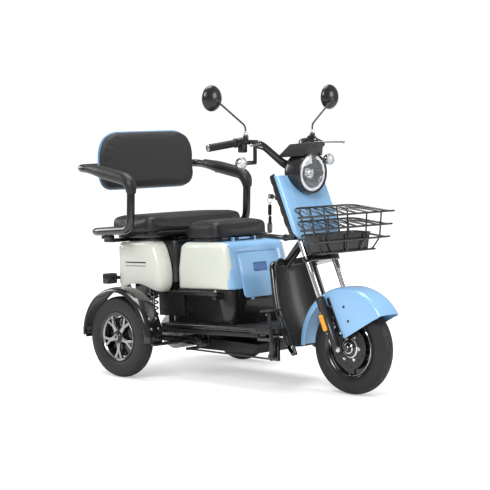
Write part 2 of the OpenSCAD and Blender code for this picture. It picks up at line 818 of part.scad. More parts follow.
module fork_crowns() {
    color(gloss_black) fork() {
        difference() {
            union() {
                crown_plate(0);
                hull() {
                    translate([axis_x, 0, top_crown_z]) cylinder(r = 26, h = 18, $fn = 32);
                    for (s = [-1, 1]) translate([-leg_offset, s*leg_y, top_crown_z])
                        cylinder(r = stanchion_r + 7, h = 18, $fn = 32);
                }
            }
            for (s = [-1, 1]) translate([-leg_offset, s*leg_y, 300]) cylinder(r = stanchion_r, h = 400);
            translate([axis_x, 0, 300]) cylinder(r = steerer_r, h = 400);
        }
        translate([axis_x, 0, crown_z]) cylinder(r = steerer_r, h = head_top + 26 - crown_z);
        difference() {
            run([[axis_x, 0, head_top + 20], [axis_x, 0, 660], [38, 0, 792]], 17);
            translate([axis_x, 0, 300]) cylinder(r = steerer_r, h = head_top + 26 - 300);
        }
    }
    color(gloss_black) head() difference() {
        union() {
            along_y(bar_clamp[0], bar_clamp[2], bar_r + 9, -24, 24);
            rod([734, 0, 922], bar_clamp + [4, 0, -8], 14);
        }
        along_y(bar_clamp[0], bar_clamp[2], bar_r - 0.25, -40, 40);
    }
}

module fork_stanchions() {
    color(chrome) fork() both() translate([-leg_offset, leg_y, slider_top - 96])
        cylinder(r = stanchion_r, h = top_crown_z + 24 - slider_top + 96);
}

// ---- steering head ----
function flip(p) = [p[0], -p[1], p[2]];
function half_bar() = [for (i = [1:3]) each corner(bar_bends[i - 1], bar_bends[i],
                                                   i < 3 ? bar_bends[i + 1] : grip_in,
                                                       i == 3 ? 18 : 30, 5)];

module bar_sweep(r) {
    half = concat(half_bar(), [grip_in - bar_dir*10]);
    path = concat([for (i = [len(half) - 1:-1:0]) flip(half[i])], half);
    sweep(path, r, 12, [700, 0, 1500], false);
}

module handlebar() {
    color(gloss_black) head() {
        bar_sweep(bar_r - 0.4);
        both() rod(grip_in - bar_dir*26, grip_out, bar_r);
    }
}

end_gap = 0.3;

module grip_shape(from, to, bore) {
    difference() {
        rod(grip_in + bar_dir*from, grip_in + bar_dir*to, grip_r);
        rod(grip_in - bar_dir*40, grip_out + bar_dir*end_gap, bore);
    }
}

module grip_left() {
    color(rubber) head() grip_shape(2, norm(grip_out - grip_in) + 3, bar_r);
}

module throttle_grip() {
    color(rubber) head() side(-1) mirror([0, 1, 0]) grip_shape(2, norm(grip_out - grip_in) + 3,
        bar_r + run_gap);
}

module pod() {
    slot_h = 8;
    difference() {
        union() {
            rod(grip_in - bar_dir*36, grip_in - bar_dir*2, 20);
            translate(grip_in - bar_dir*20) block(-4, 30, -14, 14, -44, -8);
            translate(grip_in - bar_dir*20) block(8, 44, -34, -6, -12, 12);
            translate(stem_foot - [0, 0, 24]) cylinder(r = 12, h = 28);
            translate(lever_pivot - [0, 0, 10]) cylinder(r = 12, h = 20);
            translate(lever_pivot) block(-40, 0, -10, 14, -9.5, 9.5);
            translate([640, 184, 960]) block(-6, 6, -6, 6, 0, 84);
            translate([640, 184, 960]) block(-6, 6, -6, 64, 1, 12);
        }
        rod(grip_in - bar_dir*60, grip_in + bar_dir*4, bar_r + 0.1);
        rod(bar_bends[2], bar_bends[3], bar_r + 1.9);
        rod(bar_bends[3] - [0, 14, 0], grip_in, bar_r + 1.9);
        translate(lever_pivot - [14, 14, slot_h/2]) cube([60, 60, slot_h]);
        translate(stem_foot - [0, 0, 16]) cylinder(r = 5 + run_gap, h = 60);
    }
    translate(lever_pivot - [0, 0, slot_h/2 + 1]) cylinder(r = 3, h = slot_h + 2);
}

module control_pods() {
    color(black) head() both() pod();
}

module turn_signals() {
    color(steel) head() both() translate([640, 248.2, 967]) {
        rotate([-90, 0, 0]) cylinder(r = 6, h = 20);
        translate([10, 25, 0]) rotate([0, 90, 0]) translate([0, 0, -28]) cylinder(r = 25, h = 42);
    }
}

module lever(s) {
    tip = [720, 288, 1045];
    thin = 7.4;
    color(steel) head() side(s) mirror([0, 1, 0]) difference() {
        union() {
            translate(lever_pivot - [0, 0, thin/2]) cylinder(r = 9, h = thin);
            rod(lever_pivot, tip, thin/2 - 0.1);
            translate(tip) sphere(7);
        }
        translate(lever_pivot - [0, 0, 20]) cylinder(r = 3 + run_gap, h = 40);
    }
}

module mirror_piece(s) {
    bend = [606, 208, 1122];
    color(black) head() side(s) mirror([0, 1, 0]) {
        translate(stem_foot - [0, 0, 14]) cylinder(r = 5, h = 26);
        translate(stem_foot + [0, 0, 4.4]) cylinder(r = 9, h = 10);
        run([stem_foot + [0, 0, 8], bend, mirror_c + [4, -20, -26]], 4);
        translate(mirror_c) rotate([0, 90, 0]) {
            difference() {
                translate([0, 0, -12]) cylinder(r = 55, h = 20);
                translate([0, 0, -20]) cylinder(r = 50, h = 10);
            }
            translate([0, 0, 7]) cylinder(r1 = 54, r2 = 30, h = 12);
        }
    }
}

module lamp_zone(grow) {
    head() translate([lamp_face[0] - lamp_depth - grow, 0, lamp_face[1]]) rotate([0, 90, 0])
        cylinder(r = lamp_r + grow, h = lamp_depth + 2*grow);
}

module headlamp_housing() {
    color(black) difference() {
        lamp_zone(0);
        head() translate([lamp_face[0] - 22, 0, lamp_face[1]]) rotate([0, 90, 0])
            cylinder(r = lamp_r - 13, h = 40);
        head() translate([lamp_face[0] - lamp_depth + 6, 0, lamp_face[1]]) rotate([0, 90, 0])
            cylinder(r = lamp_r - 22, h = 60);
        fork() rod([axis_x, 0, 660], [38, 0, 792], 17.5);
        head() rod([734, 0, 922], bar_clamp + [4, 0, -8], 14.4);
        head() block(690, 740, -100, 100, 934, 990);
    }
}

module headlamp_lens() {
    color(chrome) head() translate([lamp_face[0] - 21.8, 0, lamp_face[1]]) rotate([0, 90, 0])
        cylinder(r = lamp_r - 13, h = 20);
}

module cowl() {
    color(black) difference() {
        head() hull() {
            both() translate([690, 84, 992]) sphere(5, $fn = 16);
            both() translate([724, 56, 1040]) sphere(4, $fn = 16);
            both() translate([834, 26, 1052]) sphere(4, $fn = 16);
            both() translate([800, 58, 1000]) sphere(4, $fn = 16);
        }
        lamp_zone(0.4);
        head() both() rod(bar_bends[1], bar_bends[2] + [-20, 20, 20], bar_r + 4);
        head() block(600, 790, -48, 48, 980, 1034);
    }
}

module panel_slab(x0, x1, inset) {
    fork() translate([x0, 0, 0]) rotate([90, 0, 90]) linear_extrude(x1 - x0)
        rrect(-front_panel_y + inset, front_panel_y - inset, 497 + inset, 790 - inset, 42);
}

module front_panel() {
    color(sky_blue) difference() {
        panel_slab(9, 30, 0);
        panel_slab(8, 26, 5);
        lamp_zone(0.5);
        head() block(500, 900, -200, 200, 912, 1100);
        head() block(600, 742, -70, 70, 860, 1100);
    }
}

module panel_back() {
    column = 46;
    color(black) difference() {
        union() {
            panel_slab(-22, 8.6, 3);
            head() translate([key_c[0], -key_c[1], key_c[2]]) rotate([0, 90, 0]) cylinder(r = 16, h = 74);
        }
        panel_slab(-18, 12, 8);
        lamp_zone(0.5);
        fork() translate([axis_x, 0, 480]) cylinder(r = column, h = 330);
        fork() block(axis_x, 5, -24, 24, 480, 800);
        fork() both() translate([-leg_offset, leg_y, 480]) cylinder(r = stanchion_r + 9, h = 150);
        fork() block(-60, 4, -leg_y, leg_y, 590, 630);
        head() block(500, 900, -200, 200, 912, 1100);
        head() translate([key_c[0] - 1, -key_c[1], key_c[2]]) rotate([0, 90, 0])
            cylinder(r = 3 + run_gap, h = 40);
    }
}

module key() {
    color(steel) head() translate([key_c[0], -key_c[1], key_c[2]]) {
        rotate([0, 90, 0]) translate([0, 0, -22]) cylinder(r = 3, h = 50);
        difference() {
            block(-50, -18, -1.25, 1.25, -10, 10);
            translate([-42, 0, 0]) rotate([90, 0, 0]) cylinder(r = 4, h = 20, center = true);
        }
    }
}

module key_fobs() {
    color(steel) head() translate([key_c[0] - 42, -key_c[1], key_c[2]]) {
        translate([0, 0, -14]) rotate([0, 90, 0]) rotate_extrude() translate([14.5, 0]) circle(1.4,
            $fn = 16);
        sphere(3.7);
        translate([0, 0, -60]) block(-4, 4, -8, 8, -22, 32);
        translate([0, 0, -110]) block(-3, 3, -3, 3, -2, 32);
        translate([0, 0, -150]) block(-6, 6, -15, 15, -8, 42);
    }
}

// ---- basket ----
// Each level: height and position of its rear rail, its front rail, and their half widths
basket_levels = [[864, 782, 186, 1003, 757, 1], [876, 726, 180, 1004, 702, 0.95], [888, 670, 172, 1004,
    648, 0.9]];

function level_point(l, front, s) =
    front ? [l[3], s*basket_y*l[5]*0.9, l[4]] : [l[0], s*l[2], l[1]];

// Straight wire with flats, run on past its ends so that crossing wires join
module wire(p, q, r) {
    past = 0.6*r*unit(q - p);
    rod(p - past, q + past, r, $fn = 8);
}

module wires(pts, r) {
    for (i = [0:len(pts) - 2]) wire(pts[i], pts[i + 1], r);
}

module basket() {
    floor_rear = [920, 600];
    floor_front = [1000, 600];
    color(gloss_black) {
        head() for (l = basket_levels) {
            wire([l[3], -basket_y*l[5], l[4]], [l[3], basket_y*l[5], l[4]], wire_r);
            wires([level_point(l, true, -1), level_point(l, false, -1), level_point(l, false, 1),
                   level_point(l, true, 1)], wire_r);
        }
        head() for (f = [-0.8, -0.45, 0, 0.45, 0.8])
            wires([[1003, f*basket_y*0.9, 757], [1004, f*basket_y*0.85, 648],
                   [floor_front[0], f*200, floor_front[1]], [floor_rear[0], f*150, floor_rear[1]],
                   [888, f*172, 670], [864, f*186, 782]], wire_r - 1);
        head() wire([floor_rear[0], -140, floor_rear[1]], [floor_rear[0], 140, floor_rear[1]], wire_r);
        head() wire([floor_front[0], -180, floor_front[1]], [floor_front[0], 180, floor_front[1]], wire_r);
        difference() {
            head() both() wires([[920, 60, 596.5], [876, 60, 583], [852, 60, 567]], wire_r + 2);
            fork() crown_plate(0.2);
        }
    }
}

module basket_liner() {
    color(black) head() difference() {
        hull() {
            translate([924, -150, 603.7]) cube([68, 300, 1]);
            translate([897, -163, 672]) cube([98, 326, 1]);
        }
        hull() {
            translate([928, -146, 607.7]) cube([60, 292, 1]);
            translate([901, -159, 673]) cube([90, 318, 1]);
        }
    }
}

// ---- passenger footrests and pedal ----
module footrest(s) {
    color(steel) body() side(s) mirror([0, 1, 0]) difference() {
        union() {
            translate([rest_pivot[0], rest_pivot[1], rest_pivot[2] - 9]) cylinder(r = 13, h = 18);
            block(158, rest_pivot[0], rest_pivot[1] + 2, rest_pivot[1] + 12, rest_pivot[2] - 9,
                rest_pivot[2] + 9);
            translate([158, rest_pivot[1] + 7, rest_pivot[2] - 9]) cylinder(r = 5, h = 18);
        }
        translate([rest_pivot[0], rest_pivot[1], rest_pivot[2] - 20]) cylinder(r = 5 + run_gap, h = 60);
    }
}

module brake_pedal() {
    color(steel) head() translate([pedal_pivot[0], -pedal_y, pedal_pivot[1]]) difference() {
        union() {
            along_y(0, 0, 14, -8, 7);
            run([[0, 0, 0], [4, 0, 62], [-12, 0, 130]], 7);
            rod([-12, 0, 128], [-26, 6, 186], 5);
            translate([-26, 22, 186]) rotate([0, -8, 0]) plate(-34, 34, -42, 42, 0, 9, 12);
        }
        along_y(0, 0, 6 + run_gap, -30, 30);
    }
}

main_frame();
floorboard();
leg_shield();
front_shell();
side_panel(-1);  // side_panel_right
side_panel(1);  // side_panel_left
lower_skirt();
battery_pack();
rear_panel(-1);  // rear_panel_right
rear_panel(1);  // rear_panel_left
rear_body_core();
seat_hoop();
armrest_pad(-1);  // armrest_pad_right
armrest_pad(1);  // armrest_pad_left
backrest_shell();
backrest_cushion();
tail_lamps();
shock_springs();
front_seat_base();
front_seat_cushion();
rear_seat_base();
rear_seat_cushion();
battery_door();
footrest(-1);  // footrest_right
footrest(1);  // footrest_left
brake_pedal();
swing_arm();
drive_unit();
rear_fender(-1);  // rear_fender_right
rear_fender(1);  // rear_fender_left
shock_rods();
rear_tyre(-1);  // rear_tyre_right
rear_rim(-1);  // rear_rim_right
rear_tyre(1);  // rear_tyre_left
rear_rim(1);  // rear_rim_left
fork_sliders();
front_fender();
fork_reflectors();
front_tyre();
front_rim();
fork_crowns();
fork_stanchions();
handlebar();
grip_left();
control_pods();
headlamp_housing();
headlamp_lens();
cowl();
front_panel();
panel_back();
basket();
basket_liner();
turn_signals();
throttle_grip();
lever(-1);  // brake_lever_right
lever(1);  // brake_lever_left
mirror_piece(-1);  // mirror_right
mirror_piece(1);  // mirror_left
key();
key_fobs();
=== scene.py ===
"""Looks for a three-wheeled two-seat electric scooter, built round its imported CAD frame.

Pieces are drawn in millimetres in one of the vehicle's own frames, then settled in metres at the origin.
"""

import json
import logging
import math
from dataclasses import dataclass
from enum import Enum
from typing import Callable, Sequence

import bpy
from mathutils import Matrix, Vector

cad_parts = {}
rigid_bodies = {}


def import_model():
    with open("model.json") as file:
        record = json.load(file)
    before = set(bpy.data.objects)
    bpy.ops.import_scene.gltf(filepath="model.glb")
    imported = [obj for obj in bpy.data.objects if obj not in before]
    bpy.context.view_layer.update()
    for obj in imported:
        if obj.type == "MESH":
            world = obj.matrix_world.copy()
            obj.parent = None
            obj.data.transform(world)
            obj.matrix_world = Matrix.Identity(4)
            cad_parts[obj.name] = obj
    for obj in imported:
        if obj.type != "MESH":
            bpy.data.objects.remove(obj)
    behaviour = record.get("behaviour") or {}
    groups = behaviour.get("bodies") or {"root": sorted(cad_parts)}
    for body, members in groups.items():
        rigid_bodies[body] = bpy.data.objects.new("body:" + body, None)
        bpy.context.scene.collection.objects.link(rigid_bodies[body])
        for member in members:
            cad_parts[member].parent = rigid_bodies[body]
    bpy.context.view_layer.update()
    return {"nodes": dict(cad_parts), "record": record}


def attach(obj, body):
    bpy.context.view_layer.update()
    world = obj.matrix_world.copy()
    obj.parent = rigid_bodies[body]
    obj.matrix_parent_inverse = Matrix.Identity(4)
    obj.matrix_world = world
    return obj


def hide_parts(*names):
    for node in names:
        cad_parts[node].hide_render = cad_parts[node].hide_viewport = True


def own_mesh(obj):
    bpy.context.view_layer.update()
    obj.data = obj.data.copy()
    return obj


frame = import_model()
LOG = logging.getLogger("tricycle")

Point = Sequence[float]
Path = Sequence[Point]
Pair = tuple[float, float]
Sizes = Sequence[float]
Object = bpy.types.Object
Socket = bpy.types.NodeSocket
Tree = bpy.types.NodeTree
JOINTS = {joint["name"]: joint for joint in frame["record"]["behaviour"]["joints"]}

WHEELBASE = 1042.0
FRONT_R = 198.0
REAR_R = 180.0
REAR_TRACK = 747.0
BODY_TILT = math.radians(-3.0)
FORK_RAKE = math.radians(-25.2)
AXIS_X = -52.0
MID_X = WHEELBASE - 1000.0 * JOINTS["front_wheel_spin"]["pos_m"][0]
SIDES = (-1, 1)
NAMES = {-1: "right", 1: "left"}


class Place(Enum):
    """The frames that pieces are drawn in, all in millimetres."""

    VEHICLE = "rear axle line on the ground"
    BODY = "vehicle frame before the body's tilt"
    FORK = "front axle, z up along the fork"

    @property
    def matrix(self) -> Matrix:
        """Matrix from this frame to the row frame in metres.

        Returns:
            The matrix.
        """
        vehicle = Matrix.Scale(0.001, 4) @ Matrix.Translation((-MID_X, 0, 0))
        if self is Place.BODY:
            lift = Matrix.Translation((0, 0, REAR_R))
            return vehicle @ lift @ Matrix.Rotation(BODY_TILT, 4, "Y") @ lift.inverted()
        if self is Place.FORK:
            return vehicle @ Matrix.Translation((WHEELBASE, 0, FRONT_R)) @ Matrix.Rotation(FORK_RAKE, 4, "Y")
        return vehicle


# ---- finishes ----
class Relief(Enum):
    """Kinds of fine surface relief."""

    SMOOTH = "orange peel"
    GRAIN = "moulded grain"
    HIDE = "leather grain"
    BRUSHED = "brushed lines"
    CAST = "cast skin"


class Effects:
    """Shader node groups shared by the finishes, each made once."""

    made: dict[str, Tree] = {}

    @staticmethod
    def group(name: str, inputs: dict[str, float], outputs: dict[str, str]) -> Tree:
        """Makes an empty group.

        Args:
            name: the group's name.
            inputs: float inputs and their defaults, or a colour for "Base".
            outputs: names and socket types of the outputs.

        Returns:
            The new node tree, with its input and output nodes.
        """
        tree = bpy.data.node_groups.new(name, "ShaderNodeTree")
        for key, value in inputs.items():
            kind = "NodeSocketColor" if key == "Base" else "NodeSocketFloat"
            socket = tree.interface.new_socket(key, in_out="INPUT", socket_type=kind)
            if key != "Base":
                socket.default_value = value
        for key, kind in outputs.items():
            tree.interface.new_socket(key, in_out="OUTPUT", socket_type=kind)
        tree.nodes.new("NodeGroupInput").name = "in"
        tree.nodes.new("NodeGroupOutput").name = "out"
        Effects.made[name] = tree
        return tree

    @staticmethod
    def noise(tree: Tree, scale: Socket, detail: float, times: float = 1.0,
              stretch: Point = (1, 1, 1)) -> Socket:
        """Adds a noise on Object coordinates whose scale follows a group input.

        Args:
            tree: the group.
            scale: the input that sets the scale.
            detail: octaves of the noise.
            times: factor on the scale.
            stretch: factor for each axis.

        Returns:
            The noise's value.
        """
        links, nodes = tree.links, tree.nodes
        mapping = nodes.new("ShaderNodeMapping")
        mapping.inputs["Scale"].default_value = stretch
        texture = nodes.new("ShaderNodeTexNoise")
        texture.inputs["Detail"].default_value = detail
        factor = nodes.new("ShaderNodeMath")
        factor.operation = "MULTIPLY"
        factor.inputs[1].default_value = times
        links.new(nodes.new("ShaderNodeTexCoord").outputs["Object"], mapping.inputs["Vector"])
        links.new(mapping.outputs["Vector"], texture.inputs["Vector"])
        links.new(scale, factor.inputs[0])
        links.new(factor.outputs[0], texture.inputs["Scale"])
        return texture.outputs["Fac"]

    @staticmethod
    def spread(tree: Tree, value: Socket, low: float, high: float) -> Socket:
        """Maps a value's middle range to low..high.

        Args:
            tree: the group.
            value: the socket to map.
            low, high: the new ends.

        Returns:
            The mapped value.
        """
        node = tree.nodes.new("ShaderNodeMapRange")
        for key, number in (("From Min", 0.3), ("From Max", 0.7), ("To Min", low), ("To Max", high)):
            node.inputs[key].default_value = number
        tree.links.new(value, node.inputs["Value"])
        return node.outputs["Result"]

    @staticmethod
    def math(tree: Tree, operation: str, a: object, b: object) -> Socket:
        """Adds a math node on two sockets or numbers.

        Args:
            tree: the group.
            operation: the node's operation.
            a, b: its two inputs.

        Returns:
            The result's socket.
        """
        node = tree.nodes.new("ShaderNodeMath")
        node.operation = operation
        for socket, value in zip(node.inputs, (a, b)):
            if isinstance(value, Socket):
                tree.links.new(value, socket)
            else:
                socket.default_value = value
        return node.outputs[0]

    @classmethod
    def tone(cls) -> Tree:
        """Slow drift of colour and gloss, with dust that settles on upward faces.

        Returns:
            The group, made once.
        """
        if "tone" in cls.made:
            return cls.made["tone"]
        tree = cls.group("tone", {"Base": 0, "Drift": 0.1, "Scale": 6, "Rough": 0.3, "Rough Drift": 0.1,
                                  "Dust": 0},
                         {"Colour": "NodeSocketColor", "Roughness": "NodeSocketFloat"})
        gate, out, links = tree.nodes["in"].outputs, tree.nodes["out"].inputs, tree.links
        slow = cls.noise(tree, gate["Scale"], 4)
        fine = cls.noise(tree, gate["Scale"], 6, 9.0)
        blend = cls.math(tree, "ADD", cls.math(tree, "MULTIPLY", slow, 0.7),
                         cls.math(tree, "MULTIPLY", fine, 0.3))
        signed = cls.spread(tree, blend, -1, 1)
        shade = cls.math(tree, "ADD", cls.math(tree, "MULTIPLY", signed, gate["Drift"]), 1.0)
        tint = tree.nodes.new("ShaderNodeVectorMath")
        tint.operation = "SCALE"
        links.new(gate["Base"], tint.inputs[0])
        links.new(shade, tint.inputs["Scale"])
        up = tree.nodes.new("ShaderNodeSeparateXYZ")
        links.new(tree.nodes.new("ShaderNodeNewGeometry").outputs["Normal"], up.inputs[0])
        settled = cls.math(tree, "MULTIPLY", cls.math(tree, "MAXIMUM", up.outputs["Z"], 0.0), fine)
        dust = cls.math(tree, "MULTIPLY", settled, gate["Dust"])
        mix = tree.nodes.new("ShaderNodeMix")
        mix.data_type = "RGBA"
        mix.inputs["B"].default_value = (0.42, 0.40, 0.37, 1)
        links.new(dust, mix.inputs["Factor"])
        links.new(tint.outputs[0], mix.inputs["A"])
        links.new(mix.outputs["Result"], out["Colour"])
        rough = cls.math(tree, "ADD", gate["Rough"], cls.math(tree, "MULTIPLY", signed, gate["Rough Drift"]))
        links.new(cls.math(tree, "ADD", rough, cls.math(tree, "MULTIPLY", dust, 0.5)), out["Roughness"])
        return tree

    @classmethod
    def relief(cls, kind: Relief) -> Tree:
        """Height of a fine relief.

        Args:
            kind: the surface's relief.

        Returns:
            The group, made once.
        """
        if kind.name in cls.made:
            return cls.made[kind.name]
        tree = cls.group(kind.name, {"Scale": 300}, {"Height": "NodeSocketFloat"})
        gate, out = tree.nodes["in"].outputs, tree.nodes["out"].inputs
        if kind is Relief.HIDE:
            cells = tree.nodes.new("ShaderNodeTexVoronoi")
            cells.feature = "DISTANCE_TO_EDGE"
            warp = tree.nodes.new("ShaderNodeTexNoise")
            warp.inputs["Scale"].default_value = 60
            push = tree.nodes.new("ShaderNodeMix")
            push.data_type = "VECTOR"
            push.inputs["Factor"].default_value = 0.012
            coordinates = tree.nodes.new("ShaderNodeTexCoord").outputs["Object"]
            tree.links.new(coordinates, warp.inputs["Vector"])
            tree.links.new(coordinates, push.inputs["A"])
            tree.links.new(warp.outputs["Color"], push.inputs["B"])
            tree.links.new(push.outputs[1], cells.inputs["Vector"])
            tree.links.new(gate["Scale"], cells.inputs["Scale"])
            crease = cls.math(tree, "MINIMUM", cells.outputs["Distance"], 0.25)
            height = cls.math(tree, "ADD", cls.math(tree, "MULTIPLY", crease, 3.0),
                              cls.math(tree, "MULTIPLY", cls.noise(tree, gate["Scale"], 4, 2.5), 0.5))
        elif kind is Relief.BRUSHED:
            height = cls.noise(tree, gate["Scale"], 3, 1.0, (1, 0.04, 1))
        elif kind is Relief.CAST:
            height = cls.noise(tree, gate["Scale"], 8, 1.0)
        elif kind is Relief.GRAIN:
            height = cls.math(tree, "ADD", cls.noise(tree, gate["Scale"], 2, 1.0),
                              cls.math(tree, "MULTIPLY", cls.noise(tree, gate["Scale"], 2, 2.7), 0.4))
        else:
            height = cls.noise(tree, gate["Scale"], 1, 1.0)
        tree.links.new(height, out["Height"])
        return tree


@dataclass(frozen=True)
class Finish:
    """One finish: a base colour with drift, a gloss and a fine relief."""

    name: str
    slot: str
    colour: Sizes
    rough: float
    metal: float = 0.0
    coat: float = 0.0
    drift: float = 0.06
    scale: float = 5.0
    rough_drift: float = 0.05
    dust: float = 0.0
    relief: Relief = Relief.SMOOTH
    relief_scale: float = 260.0
    depth: float = 0.05
    glow: float = 0.0
    clear: float = 0.0
    sheen: float = 0.0

    def build(self) -> bpy.types.Material:
        """Makes the material, or returns it if it is made.

        Returns:
            The material.
        """
        if self.name in bpy.data.materials:
            return bpy.data.materials[self.name]
        material = bpy.data.materials.new(self.name)
        material.use_nodes = True
        tree = material.node_tree
        shader = tree.nodes["Principled BSDF"]
        tone = tree.nodes.new("ShaderNodeGroup")
        tone.node_tree = Effects.tone()
        values = {"Base": (*self.colour, 1), "Drift": self.drift, "Scale": self.scale, "Rough": self.rough,
                  "Rough Drift": self.rough_drift, "Dust": self.dust}
        for key, value in values.items():
            tone.inputs[key].default_value = value
        tree.links.new(tone.outputs["Colour"], shader.inputs["Base Color"])
        tree.links.new(tone.outputs["Roughness"], shader.inputs["Roughness"])
        constants = {"Metallic": self.metal, "Coat Weight": self.coat, "Coat Roughness": 0.05,
                     "Transmission Weight": self.clear, "Sheen Weight": self.sheen, "Sheen Roughness": 0.4}
        for key, value in constants.items():
            shader.inputs[key].default_value = value
        if self.glow:
            shader.inputs["Emission Color"].default_value = (*self.colour, 1)
            shader.inputs["Emission Strength"].default_value = self.glow
        relief = tree.nodes.new("ShaderNodeGroup")
        relief.node_tree = Effects.relief(self.relief)
        relief.inputs["Scale"].default_value = self.relief_scale
        bump = tree.nodes.new("ShaderNodeBump")
        bump.inputs["Strength"].default_value = self.depth
        bump.inputs["Distance"].default_value = 0.001
        tree.links.new(relief.outputs["Height"], bump.inputs["Height"])
        tree.links.new(bump.outputs["Normal"], shader.inputs["Normal"])
        return material


SKY_BLUE = Finish("sky_blue_moulding", "blue_plastic", (0.29, 0.55, 0.86), 0.22, coat=0.5, drift=0.025,
                  dust=0.02, relief_scale=180, depth=0.015)
# A darker copy of the door's blue, used as painted shade in the hatch's finger pull.
SHADED_BLUE = Finish("deep_blue_moulding", "blue_plastic", (0.05, 0.16, 0.42), 0.3, coat=0.3, drift=0.03)
CREAM = Finish("cream_moulding", "cream_plastic", (0.73, 0.75, 0.67), 0.24, coat=0.5, drift=0.02, dust=0.02,
               relief_scale=180, depth=0.015)
GLOSS_BLACK = Finish("gloss_black_enamel", "painted_black", (0.006, 0.006, 0.007), 0.16, coat=0.8, drift=0.2,
                     dust=0.0, relief_scale=300, depth=0.03)
MOULDED_BLACK = Finish("grained_black_moulding", "black_plastic", (0.011, 0.0105, 0.011), 0.40, coat=0.1,
                       drift=0.15, dust=0.01, relief=Relief.GRAIN, relief_scale=900, depth=0.22)
SHELL_BLACK = Finish("satin_black_shell", "black_plastic", (0.009, 0.0085, 0.009), 0.28, coat=0.3, drift=0.15,
                     dust=0.01, relief=Relief.GRAIN, relief_scale=500, depth=0.06)
VINYL = Finish("black_seat_vinyl", "vinyl", (0.012, 0.011, 0.011), 0.38, drift=0.12, dust=0.01, sheen=0.04,
               relief=Relief.HIDE, relief_scale=420, depth=0.25, rough_drift=0.06)
BACK_VINYL = Finish("charcoal_seat_vinyl", "vinyl", (0.02, 0.018, 0.02), 0.55, drift=0.08, dust=0.01,
                    sheen=0.04, relief=Relief.HIDE, relief_scale=460, depth=0.25)
RUBBER = Finish("grip_rubber", "rubber", (0.01, 0.01, 0.01), 0.48, drift=0.12, dust=0.01, relief=Relief.GRAIN,
                relief_scale=700, depth=0.2)
TYRE = Finish("tyre_rubber", "tyre", (0.014, 0.0135, 0.0135), 0.52, drift=0.16, scale=14, dust=0.03,
              relief=Relief.GRAIN, relief_scale=500, depth=0.2)
CHROME = Finish("bright_chrome", "chrome", (0.78, 0.78, 0.8), 0.07, metal=1.0, drift=0.04, rough_drift=0.03,
                depth=0.01)
STEEL = Finish("zinc_steel", "steel", (0.42, 0.42, 0.42), 0.3, metal=1.0, drift=0.12, rough_drift=0.1,
               dust=0.04, relief=Relief.BRUSHED, relief_scale=700, depth=0.12)
DARK_STEEL = Finish("dark_steel", "steel", (0.07, 0.067, 0.065), 0.36, metal=0.85, drift=0.2, rough_drift=0.1,
                    dust=0.02, relief=Relief.CAST, relief_scale=260, depth=0.15)
ALLOY = Finish("cast_alloy", "alloy", (0.46, 0.46, 0.46), 0.3, metal=1.0, drift=0.08, rough_drift=0.08,
               relief=Relief.CAST, relief_scale=500, depth=0.1)
BLACK_ALLOY = Finish("black_alloy", "alloy", (0.008, 0.008, 0.009), 0.22, coat=0.6, drift=0.2, dust=0.01,
                     relief=Relief.CAST, relief_scale=400, depth=0.06)
# The amber glows a little, though the reflectors that wear it are no lamp: painted light.
AMBER = Finish("amber_lens", "amber_lens", (0.95, 0.30, 0.01), 0.15, coat=0.6, drift=0.1, scale=40, glow=0.25,
               relief=Relief.BRUSHED, relief_scale=300, depth=0.3)
CASE = Finish("battery_case", "battery_case", (0.03, 0.03, 0.035), 0.45, drift=0.1, dust=0.05,
              relief=Relief.GRAIN, relief_scale=600, depth=0.2)
RING_WHITE = Finish("lamp_ring", "lamp_glass", (0.86, 0.86, 0.88), 0.2, coat=0.5, drift=0.02, glow=0.35)
MIRROR = Finish("mirror_glass", "chrome", (0.9, 0.9, 0.92), 0.03, metal=1.0, drift=0.01, rough_drift=0.0,
                depth=0.0)
GLASS = Finish("lamp_glass_clear", "lamp_glass", (0.95, 0.97, 1.0), 0.03, drift=0.01, rough_drift=0.01,
               depth=0.0, clear=0.95)
BRASS = Finish("brass_bolt", "steel", (0.62, 0.43, 0.16), 0.3, metal=1.0, drift=0.1)
RED = Finish("red_lens", "amber_lens", (0.5, 0.01, 0.01), 0.2, coat=0.6, drift=0.1, relief=Relief.BRUSHED,
             relief_scale=300, depth=0.3)
PALE_LENS = Finish("pale_lens", "steel", (0.72, 0.74, 0.76), 0.12, coat=1.0, drift=0.12, scale=60,
                   rough_drift=0.05)
SPRING_BLACK = Finish("spring_black", "steel", (0.03, 0.03, 0.032), 0.25, coat=0.5, drift=0.2)


# ---- modelling ----
def deselect() -> None:
    """Leaves edit mode and deselects everything."""
    if bpy.context.object and bpy.context.object.mode != "OBJECT":
        bpy.ops.object.mode_set(mode="OBJECT")
    bpy.ops.object.select_all(action="DESELECT")


def pick(*objects: Object) -> Object:
    """Selects only these objects and makes the first active.

    Args:
        *objects: what to select.

    Returns:
        The first of them.
    """
    deselect()
    for item in objects:
        item.select_set(True)
    bpy.context.view_layer.objects.active = objects[0]
    return objects[0]


def settle(obj: Object, matrix: Matrix) -> Object:
    """Puts an object where the matrix says and applies its place to its mesh.

    Args:
        obj: the object.
        matrix: its place in metres.

    Returns:
        The same object.
    """
    bpy.context.view_layer.update()
    obj.matrix_world = matrix @ obj.matrix_world
    pick(obj)
    bpy.ops.object.transform_apply(location=True, rotation=True, scale=True)
    return obj


def smooth(obj: Object, degrees: float = 35.0) -> Object:
    """Shades an object smooth up to an angle between faces.

    Args:
        obj: the object.
        degrees: the angle.

    Returns:
        The same object.
    """
    pick(obj)
    bpy.ops.object.shade_smooth_by_angle(angle=math.radians(degrees))
    return obj


def modify(obj: Object, kind: str, **values: object) -> Object:
    """Adds one modifier and applies it.

    Args:
        obj: the object.
        kind: the modifier's type.

    Returns:
        The same object.
    """
    modifier = obj.modifiers.new(kind.lower(), kind)
    for key, value in values.items():
        setattr(modifier, key, value)
    pick(obj)
    bpy.ops.object.modifier_apply(modifier=modifier.name)
    return obj


